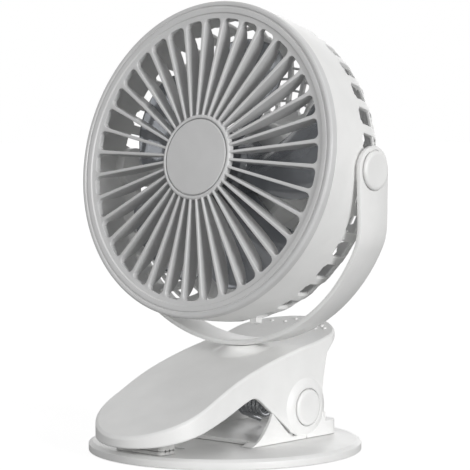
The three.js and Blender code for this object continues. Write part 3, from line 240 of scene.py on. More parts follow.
def on_axis(axis: Axis, along: np.ndarray, first: np.ndarray, second: np.ndarray) -> np.ndarray:
    """Points from their values along an axis and along the two others, in X, Y, Z order.

    Args:
        axis: the axis.
        along: values along it.
        first: values along the first of the others.
        second: values along the second.

    Returns:
        The points, with one more dimension than the values.
    """
    parts = [first, second]
    parts.insert(axis.value, np.broadcast_to(along, first.shape))
    return np.stack(parts, -1)


def turned(
    profile: np.ndarray | list,
    rounding: float,
    steps: int,
    axis: Axis = Axis.Y,
    ring: bool = True,
    shift: float = 0.0,
) -> Skin:
    """Turns a rounded profile round an axis.

    Point (i, j) stands at profile point j turned by 360 i / steps degrees: radius times the cosine
    and sine of that angle across the axis, and height along it.

    Args:
        profile: (n, 2) radii and heights; an open one starts and ends on the axis.
        rounding: rounding of its corners, or 0.
        steps: number of turns of the profile.
        axis: the axis.
        ring: whether the profile is a loop.
        shift: how far the surface is moved along the axis.

    Returns:
        A closed surface.
    """
    rounded = softened(profile, rounding, ring) if rounding else np.asarray(profile, float)
    radius, height = rounded.T
    angle = np.linspace(0, 2 * np.pi, steps, endpoint=False)[:, None]
    points = on_axis(axis, height + shift, radius * np.cos(angle), radius * np.sin(angle))
    return Skin(points.reshape(-1, 3), grid_faces(steps, len(radius), True, ring).tolist())


def lofted(rings: np.ndarray, folded: bool = False) -> Skin:
    """Joins rings of points into a closed tube.

    Args:
        rings: (m, n, 3) rings, each closed.
        folded: closes the ends with strips across the ring's middle line in place of one face.

    Returns:
        A closed surface.
    """
    rows, columns = rings.shape[:2]
    faces = grid_faces(rows, columns, False, True).tolist()
    last = (rows - 1) * columns
    if folded:
        near = np.arange(0, columns // 2)
        far = (columns - near) % columns
        strip = np.stack([near, far, (far - 1) % columns, near + 1], 1)
        faces += strip.tolist() + (strip[:, ::-1] + last).tolist()
    else:
        faces += [list(range(columns))[::-1], list(range(last, last + columns))]
    return Skin(rings.reshape(-1, 3), faces)


def prism(outline: np.ndarray, low: float, high: float, axis: Axis) -> Skin:
    """Gives an outline an even thickness along an axis.

    Args:
        outline: (n, 2) loop in the two other coordinates, in X, Y, Z order.
        low: where it starts along the axis.
        high: where it ends.
        axis: the axis.

    Returns:
        A closed surface.
    """
    first, second = np.broadcast_to(outline.T[:, None], (2, 2, len(outline)))
    return lofted(on_axis(axis, np.array([low, high])[:, None], first, second))


def rotated_copies(skin: Skin, angles: np.ndarray) -> Skin:
    """Copies a surface round the Y axis.

    Args:
        skin: the surface.
        angles: turns in radians, from +X towards +Z.

    Returns:
        All copies as one surface.
    """
    x, y, z = skin.points.T
    cos, sin = np.cos(angles)[:, None], np.sin(angles)[:, None]
    points = on_axis(Axis.Y, y, x * cos - z * sin, x * sin + z * cos)
    faces = [[i + copy * len(y) for i in face] for copy in range(len(angles)) for face in skin.faces]
    return Skin(points.reshape(-1, 3), faces)


# ------------------------------------------------------------------ meshes and pieces


def link_object(name: str, data: bpy.types.ID) -> bpy.types.Object:
    """Puts a mesh, lamp or camera into the scene.

    Args:
        name: the object's name.
        data: what it shows.

    Returns:
        The object, at the origin.
    """
    obj = bpy.data.objects.new(name, data)
    bpy.context.scene.collection.objects.link(obj)
    return obj


def make_object(name: str, skin: Skin) -> bpy.types.Object:
    """Makes a mesh object at the origin from a surface in the row frame.

    Args:
        name: the object's name.
        skin: the surface, in millimetres.

    Returns:
        The object, its doubles merged and its faces turned outwards.
    """
    mesh = bpy.data.meshes.new(name)
    mesh.from_pydata((skin.points * MM).tolist(), [], skin.faces)
    tidy_mesh(mesh)
    return link_object(name, mesh)


def tidy_mesh(mesh: bpy.types.Mesh, flat_angle: float = 0.0) -> None:
    """Merges a mesh's doubles and turns its faces outwards.

    Args:
        mesh: the mesh.
        flat_angle: degrees under which neighbouring faces become one; 0 leaves them.
    """
    work = bmesh.new()
    work.from_mesh(mesh)
    bmesh.ops.remove_doubles(work, verts=work.verts, dist=2e-6)
    bmesh.ops.dissolve_degenerate(work, edges=work.edges, dist=1e-6)
    if flat_angle:
        limit = math.radians(flat_angle)
        bmesh.ops.dissolve_limit(work, angle_limit=limit, verts=work.verts, edges=work.edges)
    bmesh.ops.recalc_face_normals(work, faces=work.faces)
    work.to_mesh(mesh)
    work.free()


def carve(obj: bpy.types.Object, cutter: Skin) -> None:
    """Cuts a surface's space out of an object for good.

    Args:
        obj: the object.
        cutter: a closed surface in the row frame.
    """
    tool = make_object(obj.name + "_cutter", cutter)
    cut = obj.modifiers.new("cut", "BOOLEAN")
    cut.operation, cut.solver, cut.object = "DIFFERENCE", "EXACT", tool
    bake_modifiers(obj)
    bpy.data.objects.remove(tool)


def bake_modifiers(obj: bpy.types.Object) -> None:
    """Turns an object's modifiers into its mesh.

    Args:
        obj: the object.
    """
    graph = bpy.context.evaluated_depsgraph_get()
    mesh = bpy.data.meshes.new_from_object(obj.evaluated_get(graph))
    obj.modifiers.clear()
    old, obj.data = obj.data, mesh
    bpy.data.meshes.remove(old)


def soften_edges(obj: bpy.types.Object, width: float, angle: float = 40.0) -> None:
    """Rounds an object's sharp edges with a bevel.

    Args:
        obj: the object.
        width: the bevel's width in millimetres.
        angle: degrees between faces from which an edge counts as sharp.
    """
    bevel = obj.modifiers.new("edge", "BEVEL")
    bevel.width, bevel.segments = width * MM, 2
    bevel.limit_method, bevel.angle_limit = "ANGLE", math.radians(angle)
    bevel.use_clamp_overlap = True
    bevel.harden_normals = False


def orient_outwards(obj: bpy.types.Object, place: Placement) -> None:
    """Turns an open bowl's faces away from its middle.

    Args:
        obj: the bowl.
        place: the frame whose origin is the bowl's middle.
    """
    face = max(obj.data.polygons, key=lambda polygon: polygon.area)
    if face.normal.dot(face.center - Vector(place.origin) * MM) < 0:
        obj.data.flip_normals()


def dress(
    obj: bpy.types.Object, finish: Finish, body: Body | None, replaces: tuple[str, ...] = (), sharp: float = 38.0
) -> None:
    """Gives a piece its finish, its body and the CAD nodes it stands for.

    Args:
        obj: the piece.
        finish: its finish.
        body: the body it moves with, or None where it bends between two.
        replaces: the CAD nodes it stands for.
        sharp: degrees between faces from which an edge is shaded sharp.
    """
    obj.data.materials.clear()
    obj.data.materials.append(finish.material())
    obj.data.shade_smooth()
    obj.data.set_sharp_from_angle(angle=math.radians(sharp))
    if body:
        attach(obj, body.value)
    if replaces:
        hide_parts(*replaces)
    LOG.info("%s: %d faces on %s", obj.name, len(obj.data.polygons), body.value if body else "two bodies")


def piece(name: str, skin: Skin, place: Placement, *finishing: object) -> bpy.types.Object:
    """Makes a finished piece from a surface in a sub-assembly's frame.

    Args:
        name: the piece's name.
        skin: its surface.
        place: where that frame stands.
        *finishing: what dress takes after the object.

    Returns:
        The piece.
    """
    obj = make_object(name, skin.placed(place))
    dress(obj, *finishing)
    return obj


def keep_nodes(frame: dict, names: tuple[str, ...], finish: Finish) -> None:
    """Gives CAD nodes that stay visible a finish.

    Args:
        frame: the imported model.
        names: the nodes.
        finish: their finish.
    """
    for name in names:
        node = frame["nodes"][name]
        node.data.materials.clear()
        node.data.materials.append(finish.material())
        LOG.info("%s keeps its CAD shape as %s", name, finish.name)


# ------------------------------------------------------------------ finishes


def linear(colour: str) -> tuple[float, float, float, float]:
    """Turns an sRGB hex colour to linear light.

    Args:
        colour: such as "#f2f2f0".

    Returns:
        Linear red, green and blue, and 1.
    """
    values = np.array([int(colour[i : i + 2], 16) for i in (1, 3, 5)]) / 255
    light = np.where(values <= 0.04045, values / 12.92, ((values + 0.055) / 1.055) ** 2.4)
    return (*light.tolist(), 1.0)


def add_node(
    tree: bpy.types.NodeTree, kind: str, settings: dict | None = None, links: dict | None = None
) -> bpy.types.Node:
    """Adds a node with its settings and links.

    Args:
        tree: the material's node tree.
        kind: the node's type name.
        settings: attributes, or input sockets' values by socket name.
        links: output sockets by the name or number of the input socket that they feed.

    Returns:
        The node.
    """
    node = tree.nodes.new(kind)
    for name, value in (settings or {}).items():
        if name in node.inputs:
            node.inputs[name].default_value = value
        else:
            setattr(node, name, value)
    for name, socket in (links or {}).items():
        tree.links.new(socket, node.inputs[name])
    return node


@dataclass(frozen=True)
class Finish:
    """A surface finish: a Principled shader whose colour, gloss and relief vary at real sizes.

    A slow noise shifts the colour between two close shades, and a fine noise shifts the roughness
    by a little and gives the relief left by the mould or the tool.
    """

    name: str
    slot: str
    colour: str
    shade: str
    roughness: float = 0.4
    roughness_swing: float = 0.05
    metallic: float = 0.0
    grain_mm: float = 0.6
    relief_mm: float = 0.004
    cloud_mm: float = 14.0
    coat: float = 0.0
    clear: float = 0.0
    brushed: tuple[float, float, float] = (1.0, 1.0, 1.0)

    def material(self) -> bpy.types.Material:
        """Builds the material, or finds it if it has been built.

        Returns:
            The material.
        """
        known = bpy.data.materials.get(self.name)
        if known:
            return known
        made = bpy.data.materials.new(self.name)
        made.use_nodes = True
        tree = made.node_tree
        shader = next(node for node in tree.nodes if node.type == "BSDF_PRINCIPLED")
        where = add_node(tree, "ShaderNodeTexCoord").outputs["Object"]
        spread = add_node(tree, "ShaderNodeMapping", {"Scale": self.brushed}, {"Vector": where}).outputs["Vector"]
        coarse, fine = {"Scale": 1000 / self.cloud_mm, "Detail": 3.0}, {"Scale": 1000 / self.grain_mm, "Detail": 2.0}
        cloud = add_node(tree, "ShaderNodeTexNoise", coarse, {"Vector": where}).outputs["Fac"]
        grain = add_node(tree, "ShaderNodeTexNoise", fine, {"Vector": spread}).outputs["Fac"]
        tint = add_node(tree, "ShaderNodeValToRGB", {}, {"Fac": cloud})
        dark, light = tint.color_ramp.elements
        dark.position, dark.color = 0.35, linear(self.shade)
        light.position, light.color = 0.65, linear(self.colour)
        swing = {"To Min": self.roughness - self.roughness_swing, "To Max": self.roughness + self.roughness_swing}
        gloss = add_node(tree, "ShaderNodeMapRange", swing, {"Value": grain})
        height = {"Strength": 0.35, "Distance": self.relief_mm * MM}
        relief = add_node(tree, "ShaderNodeBump", height, {"Height": grain})
        tree.links.new(tint.outputs["Color"], shader.inputs["Base Color"])
        tree.links.new(gloss.outputs["Result"], shader.inputs["Roughness"])
        tree.links.new(relief.outputs["Normal"], shader.inputs["Normal"])
        shader.inputs["Metallic"].default_value = self.metallic
        shader.inputs["Coat Weight"].default_value = self.coat
        shader.inputs["Transmission Weight"].default_value = self.clear
        return made


# Injection-moulded ABS, white, from a fine spark-eroded mould: an even satin with soft highlights.
# The real grit is about 0.05 mm; it is drawn at 0.6 mm so that a close view shows it.
WHITE_ABS = Finish("moulded_white_abs", "white_plastic", "#f3f3f2", "#efefee", 0.38, 0.05)
# The same ABS in a light grey for the guard, a little glossier on its fins.
GREY_ABS = Finish("moulded_grey_abs", "grey_plastic", "#d6d6d6", "#d1d1d1", 0.36, 0.05)
# Gloss-moulded smoke-grey polystyrene: light comes dimly through the smooth blades, which show
# clear reflections.
IMPELLER_PS = Finish(
    "glossy_impeller_polystyrene", "impeller_plastic", "#a4a7ac", "#9fa2a7", 0.12, 0.03, coat=0.3, relief_mm=0.001,
    clear=0.6,
)
# Soft thermoplastic rubber, pale grey: matt, and a little dusty.
SOFT_RUBBER = Finish(
    "soft_grey_rubber", "rubber_pad", "#cfcfcd", "#9f9f9e", 0.78, 0.08, grain_mm=0.8, relief_mm=0.02
)
# Bright zinc-plated steel: drawn wire and turned pins, with fine lines round them.
ZINC_STEEL = Finish(
    "bright_zinc_steel", "zinc_steel", "#c3c5c8", "#b5b7ba", 0.28, 0.08, 1.0, 0.4, 0.003, brushed=(0.1, 1.0, 1.0)
)
# Plain drawn steel can of the motor.
MOTOR_STEEL = Finish(
    "drawn_motor_steel", "motor_can", "#8f9296", "#85888c", 0.34, 0.08, 1.0, 0.5, 0.004, brushed=(1.0, 0.1, 1.0)
)
# Green solder mask over glass-fibre board: glossy, with the weave just showing.
SOLDER_MASK = Finish("green_solder_mask", "circuit_board", "#2c6b45", "#255f3c", 0.3, 0.06, grain_mm=0.5)


def side_buttons(
    kind: str, profile: tuple, rounding: float, shift: float, place: Placement, body: Body, node: str
) -> None:
    """Turns a white button for each side.

    Args:
        kind: the pieces' name without the side.
        profile: radii and heights.
        rounding: rounding of its corners.
        shift: distance of its back from the middle.
        place: the frame that it is in.
        body: the body it moves with.
        node: the replaced nodes' name without the side.
    """
    for side in Side:
        skin = turned(profile, rounding, 120, Axis.X, False, shift).on(side)
        name = side.name.lower()
        piece(f"{kind}_{name}", skin, place, WHITE_ABS, body, (f"{node}_{name}",))


# ------------------------------------------------------------------ base and clip bracket


@dataclass
class Base:
    """Round base plate with its bracket, pin, pads and spring."""

    radius: float = 64.0
    bottom: float = 0.4
    top: float = 5.0
    bevel: tuple[float, float] = (1.9, 1.3)  # in from the edge, and down from the top
    foot_bevel: float = 0.25
    pocket_radius: float = 54.3
    pocket_top: float = 1.7
    slot_y: float = -37.0
    slot_half_length: float = 8.0
    slot_half_width: float = 1.8
    cheek: tuple[float, float] = (24.3, 29.6)  # the hollow behind a cheek's thin wall
    hollow: tuple = ((-20, 7.1), (12.4, 7.1), (10.2, 11.2), (4.6, 15.6), (-0.6, 26), (-20, 26))
    pin_end: float = 30.1
    pin_radius: float = 2.5
    pin_bevel: float = 0.4
    wire: float = 0.9
    coil: float = 6.2
    pitch: float = 2.4
    turns: int = 5
    leg_angles: tuple[float, float] = (-21.0, 60.0)
    leg_lengths: tuple[float, float] = (13.0, 20.5)

    def plate(self) -> None:
        """Turns the disc's profile, with a bevelled top edge, and cuts the oval slot through it."""
        r, low, top, cut, pocket = self.radius, self.bottom, self.top, self.foot_bevel, self.pocket_radius
        profile = [
            (0, self.pocket_top), (pocket, self.pocket_top), (pocket, low), (r - cut, low), (r, low + cut),
            (r, top - self.bevel[1]), (r - self.bevel[0], top), (0, top),
        ]
        disc = make_object("base_disc", turned(profile, 0.22, 240, Axis.Z, False))
        edge = self.slot_half_width
        angle = np.linspace(-np.pi / 2, np.pi / 2, 13)
        end = np.stack([self.slot_half_length - edge + edge * np.cos(angle), edge * np.sin(angle)], 1)
        slot = np.concatenate([end, -end]) + np.array([0, self.slot_y])
        carve(disc, prism(slot, low - 1, top + 1, Axis.Z))
        soften_edges(disc, 0.25, 60)
        dress(disc, WHITE_ABS, Body.BASE, ("base_plate",))

    def bracket(self, frame: dict) -> None:
        """Hollows a copy of the bracket's own moulding behind its cheeks and softens its edges.

        Args:
            frame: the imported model.
        """
        mesh = frame["nodes"]["clip_bracket"].data.copy()
        mesh.name = "bracket_moulding"
        tidy_mesh(mesh, 1.0)
        obj = link_object("bracket_moulding", mesh)
        right = prism(np.array(self.hollow), *self.cheek, Axis.X)
        carve(obj, right)
        carve(obj, right.mirrored())
        tidy_mesh(obj.data, 1.0)
        soften_edges(obj, 0.35)
        dress(obj, WHITE_ABS, Body.BASE, ("clip_bracket",))

    def pin(self) -> None:
        """Turns the hinge pin with chamfered ends."""
        end, r, cut = self.pin_end, self.pin_radius, self.pin_bevel
        profile = [(0, -end), (r - cut, -end), (r, cut - end), (r, end - cut), (r - cut, end), (0, end)]
        piece("hinge_rod", turned(profile, 0, 40, Axis.X, False), HINGE_PLACE, ZINC_STEEL, Body.BASE, ("hinge_pin",))

    def spring(self) -> None:
        """Winds the torsion spring.

        The middle line is a straight leg, a helix round the pin that climbs by the pitch in each
        turn, and a second leg; a circle of the wire's radius is carried along it, square to the
        line, in a frame made from the pin's direction.
        """
        (lower, upper), (low_length, high_length) = np.radians(self.leg_angles), self.leg_lengths
        start = lower + 1.5 * np.pi
        whole = start - (upper + 0.5 * np.pi) + 2 * np.pi * self.turns
        rise = self.pitch * whole / (2 * np.pi)
        around, climb = start - np.linspace(0, 1, 420) * whole, np.linspace(-rise / 2, rise / 2, 420)
        helix = np.stack([climb, HINGE_Y + self.coil * np.cos(around), HINGE_Z + self.coil * np.sin(around)], 1)
        low_way, high_way = (np.array([0, math.cos(leg), math.sin(leg)]) for leg in (lower, upper))
        low = helix[0] + np.linspace(low_length, 0.4, 8)[:, None] * low_way
        high = helix[-1] + np.linspace(0.4, high_length, 10)[:, None] * high_way
        line = np.concatenate([low, helix, high])
        ahead = np.gradient(line, axis=0)
        ahead /= np.linalg.norm(ahead, axis=1, keepdims=True)
        side = np.array([1.0, 0, 0]) - ahead * ahead[:, :1]
        side /= np.linalg.norm(side, axis=1, keepdims=True)
        angle = np.linspace(0, 2 * np.pi, 12, endpoint=False)[None, :, None]
        circle = np.cos(angle) * side[:, None] + np.sin(angle) * np.cross(ahead, side)[:, None]
        skin = lofted(line[:, None] + self.wire * circle)
        obj = piece("wound_clip_spring", skin, ROW, ZINC_STEEL, None, ("clip_spring",))
        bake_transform(obj)

    def build(self, frame: dict) -> None:
        """Makes the base's pieces.

        Args:
            frame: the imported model.
        """
        self.plate()
        self.bracket(frame)
        self.pin()
        self.spring()
        keep_nodes(frame, ("base_pad", "lower_jaw_pad"), SOFT_RUBBER)


# ------------------------------------------------------------------ lever


@dataclass
class Lever:
    """Upper jaw and thumb plate in one moulding, with its collar and pivot covers."""

    half_width: float = 30.4
    wall: float = 2.4
    front_y: float = -72.0
    rear_y: float = 60.0
    nose_length: float = 27.0
    tail_length: float = 18.0
    tail_power: float = 1.7
    lobe_radius: float = 12.0
    collar_radius: float = 8.0
    collar_top: float = 48.3
    flare_radius: float = 15.0
    top_line: tuple = (
        (-73, 13.2), (-66, 16.8), (-57, 21), (-44, 27.1), (-24, 36.1), (-3, 42.7), (18.4, 47.6),
        (33, 50.3), (43, 53), (50, 55.5), (57, 57.8), (61, 59),
    )
    skirt_line: tuple = (
        (-73, 8.7), (-65, 10.4), (-51, 14.4), (-34, 19.9), (-18, 26.4), (0, 31), (20, 36), (36, 41),
        (41.5, 46.7), (47, 50.4), (52, 52.7), (61, 56.4),
    )
    lobe_front: tuple = (
        (-22.0, 35.6), (-18.0, 32.5), (-14.5, 29.75), (-12.0, 27.8), (-8.9, 25.4), (-2.0, 20.1),
        (5.0, 14.8), (11.2, 10.1), (12.3, 9.0), (13.6, 8.3), (15.2, 8.0), (17.5, 7.9),
    )
    lobe_rear: tuple = ((35.3, 31.0), (38.4, 42.3))  # the curve's control point and its end
    arch_round: float = 3.8
    bevel: tuple[float, float] = (1.1, 1.0)  # in from the edge, and down from the top
    rim_round: float = 0.6
    top_insets: tuple = (27.5, 22.0, 15.0, 8.0, 4.0)
    roof_insets: tuple = (8.0, 16.0, 27.5)
    grip_dots: tuple = ((17.2, 46.2), (22.0, 47.2), (18.6, 49.4), (-14.0, 50.8), (-6.0, 51.2), (-1.8, 54.5))
    grip_radius: float = 1.05
    boss: tuple = (
        (8.95, -1.5), (14.2, -1.5), (14.0, -0.1), (12.8, 0.45), (11.6, 1.05), (10.6, 1.45), (9.6, 1.6), (8.95, 1.6),
    )
    button: tuple = ((0, 0), (8.5, 0), (8.5, 1.4), (8.05, 1.95), (6.9, 2.32), (5.5, 2.4), (0, 2.4))

    @staticmethod
    def smooth_line(points: tuple, at: np.ndarray) -> np.ndarray:
        """Heights on a smooth line: a cubic between each two points, with slopes from both neighbours.

        Args:
            points: (y, z) pairs in rising order of y.
            at: where the height is wanted.

        Returns:
            The heights.
        """
        y, z = np.array(points, float).T
        before, after = np.maximum(np.arange(len(y)) - 1, 0), np.minimum(np.arange(len(y)) + 1, len(y) - 1)
        slope = (z[after] - z[before]) / (y[after] - y[before])
        i = np.clip(np.searchsorted(y, at, side="right") - 1, 0, len(y) - 2)
        span = y[i + 1] - y[i]
        t = np.clip((at - y[i]) / span, 0, 1)
        ease = t * t * (3 - 2 * t)
        bend = t * (1 - t) ** 2 * span * slope[i] - t * t * (1 - t) * span * slope[i + 1]
        return z[i] + (z[i + 1] - z[i]) * ease + bend

    def top(self, y: np.ndarray | float) -> np.ndarray:
        """Heights of the plate's top."""
        return self.smooth_line(self.top_line, np.asarray(y, float))

    def lobe_edge(self) -> np.ndarray:
        """Lower edge of the side's lobe in (y, z): a slope, the hinge circle and a steep rear edge.

        Returns:
            Points in rising order of y.
        """
        arc = np.linspace(-np.pi / 2, -0.02, 16)
        circle = np.stack([HINGE_Y + self.lobe_radius * np.cos(arc), HINGE_Z + self.lobe_radius * np.sin(arc)], 1)
        t = np.linspace(0.05, 1, 9)[:, None]
        corner, end = np.array(self.lobe_rear)
        rear = (1 - t) ** 2 * circle[-1] + 2 * t * (1 - t) * corner + t**2 * end
        rear[:, 0] = np.maximum.accumulate(rear[:, 0] + np.linspace(0.01, 0.05, 9))
        return np.concatenate([self.lobe_front, circle, rear])

    def low(self, y: np.ndarray) -> np.ndarray:
        """Heights of the side's lower edge: the lower of the skirt line and the lobe, less a quarter
        of the square of what their distance lacks of the arch's rounding, over that rounding.

        Args:
            y: where the heights are wanted.

        Returns:
            The heights.
        """
        skirt = self.smooth_line(self.skirt_line, y)
        hang = np.interp(y, *self.lobe_edge().T, left=99, right=99)
        near = np.maximum(self.arch_round - np.abs(skirt - hang), 0)
        return np.minimum(skirt, hang) - near**2 / (4 * self.arch_round)

    def outline(self, inset: float) -> np.ndarray:
        """Plan outline drawn in by an inset.

        The nose is a half ellipse, the sides are straight and the tail is a half superellipse, so
        its points are half-width * cos(a) and length * sin(a) raised to 2 / power.

        Args:
            inset: how far in, in millimetres.

        Returns:
            (n, 2) loop of x and y that starts at the nose and runs over the +X side.
        """
        half = self.half_width - inset
        nose_y, tail_y = self.front_y + self.nose_length, self.rear_y - self.tail_length
        a = np.linspace(0, np.pi / 2, 22)
        nose = np.stack([half * np.sin(a), nose_y - (self.nose_length - inset) * np.cos(a)], 1)
        marks = [np.linspace(nose_y, tail_y, 30), np.linspace(-20, -6, 18), self.lobe_edge()[:, 0]]
        middle = np.unique(np.concatenate(marks))[1:-1]
        side = np.stack([np.full(len(middle), half), middle], 1)
        power = 2 / self.tail_power
        length = max(self.tail_length - inset, 1)
        tail = np.stack([half * np.cos(a) ** power, tail_y + length * np.sin(a) ** power], 1)
        right = np.concatenate([nose, side, tail])
        return np.concatenate([right, right[1:-1][::-1] * np.array([-1.0, 1.0])])

    def loop(self, inset: float, height: np.ndarray | None = None, drop: float = 0.0) -> np.ndarray:
        """One loop of the lever's skin.

        Args:
            inset: how far the loop lies inside the outline.
            height: the loop's heights, or None for the plate's top.
            drop: how far the loop lies below them.

        Returns:
            (n, 3) points.
        """
        plan = self.outline(inset)
        return np.column_stack([plan, (self.top(plan[:, 1]) if height is None else height) - drop])

    def skin(self) -> Skin:
        """The plate and its sides: loops over the top, down the outside, round the rim and up inside.

        Returns:
            A closed surface.
        """
        y = self.outline(0.0)[:, 1]
        top, low, wall, lift = self.top(y), self.low(y), self.wall, self.rim_round
        inwards, down = self.bevel
        side = down + 0.5
        edge = softened([(inwards + 0.8, 0), (inwards, 0), (0, down - 0.1), (0, side)], 0.28, False, 5)
        loops = [self.loop(inset) for inset in self.top_insets]
        loops += [self.loop(inset, drop=drop) for inset, drop in edge]
        share = np.linspace(0.1, 1, 9)[:, None]
        loops += [self.loop(0.0, z) for z in (top - side) * (1 - share) + (low + lift) * share]
        rim = ((0.18, 0.18), (lift, 0), (wall - lift, 0), (wall - 0.18, 0.18), (wall, lift))
        loops += [self.loop(inset, low + rise) for inset, rise in rim]
        share = np.linspace(0.15, 1, 6)[:, None]
        roof = np.maximum(top - wall, low + 0.7)
        loops += [self.loop(wall, z) for z in (low + lift) * (1 - share) + roof * share]
        loops += [self.loop(inset, drop=wall) for inset in self.roof_insets]
        return lofted(np.array(loops), folded=True)

    def seat(self) -> Skin:
        """Thick ring under the plate that the swivel's washer bears on.

        Returns:
            A closed surface.
        """
        low = float(self.top(SWIVEL_Y)) - self.wall - 3.0
        ring = [(BORE, low), (self.collar_radius, low), (self.collar_radius, low + 3.6), (BORE, low + 3.6)]
        return turned(ring, 0.3, 64, Axis.Z).placed(SWIVEL_PLACE)

    def dots(self) -> list[Skin]:
        """Small domes on the thumb plate: low caps of a sphere.

        Returns:
            A closed surface for each dome.
        """
        r, a = self.grip_radius, np.linspace(0, np.pi / 2, 6)
        cap = np.stack([r * np.sin(a), 0.62 * r * np.cos(a)], 1)
        dome = turned(np.concatenate([cap, [[r, -0.6], [0, -0.6]]]), 0, 18, Axis.Z, False)
        return [dome.placed(Placement(0, 0, (x, y, float(self.top(y))))) for x, y in self.grip_dots]

    def collar(self) -> None:
        """Sweeps the collar round the swivel, with a hollow flare that runs out on the lever's top.

        At share s of the flare the radius grows from the collar's to the flare's by s, and the height
        falls from the collar's top to the lever's top by 1 less (1 - s) to the power of 1.6.
        """
        angle, s = np.linspace(0, 2 * np.pi, 120, endpoint=False)[:, None], np.linspace(0, 1, 14)
        r, wide, neck = self.collar_radius, self.flare_radius, self.collar_top - 0.35
        foot = self.top(SWIVEL_Y + wide * np.sin(angle)) + 0.02
        flare = neck - (neck - foot) * (1 - (1 - s) ** 1.6)
        rim, floor = np.full((120, 2), self.collar_top), np.full((120, 1), 43.0)
        heights = np.concatenate([rim, flare, foot - 0.6, floor], 1)
        radii = np.concatenate([[BORE, r - 0.4], r + (wide - r) * s, [wide, BORE]])
        points = on_axis(Axis.Z, heights, radii * np.cos(angle), SWIVEL_Y + radii * np.sin(angle))
        skin = Skin(points.reshape(-1, 3), grid_faces(*heights.shape, True, True).tolist())
        piece("flared_collar", skin, ROW, WHITE_ABS, Body.LEVER, ("swivel_collar",))

    def build(self, frame: dict) -> None:
        """Makes the lever's pieces.

        Args:
            frame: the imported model.
        """
        ring = turned(self.boss, 0.35, 96, Axis.X, shift=self.half_width)
        rings = [ring.on(side).placed(HINGE_PLACE) for side in (Side.RIGHT, Side.LEFT)]
        skin = joined([self.skin(), *rings, self.seat(), *self.dots()])
        piece("lever_moulding", skin, ROW, WHITE_ABS, Body.LEVER, ("lever_shell",), 50)
        self.collar()
        shift = self.half_width + 0.3
        side_buttons("pivot_button", self.button, 0.45, shift, HINGE_PLACE, Body.LEVER, "clip_cover")
        keep_nodes(frame, ("upper_jaw_pad",), SOFT_RUBBER)


# ------------------------------------------------------------------ yoke


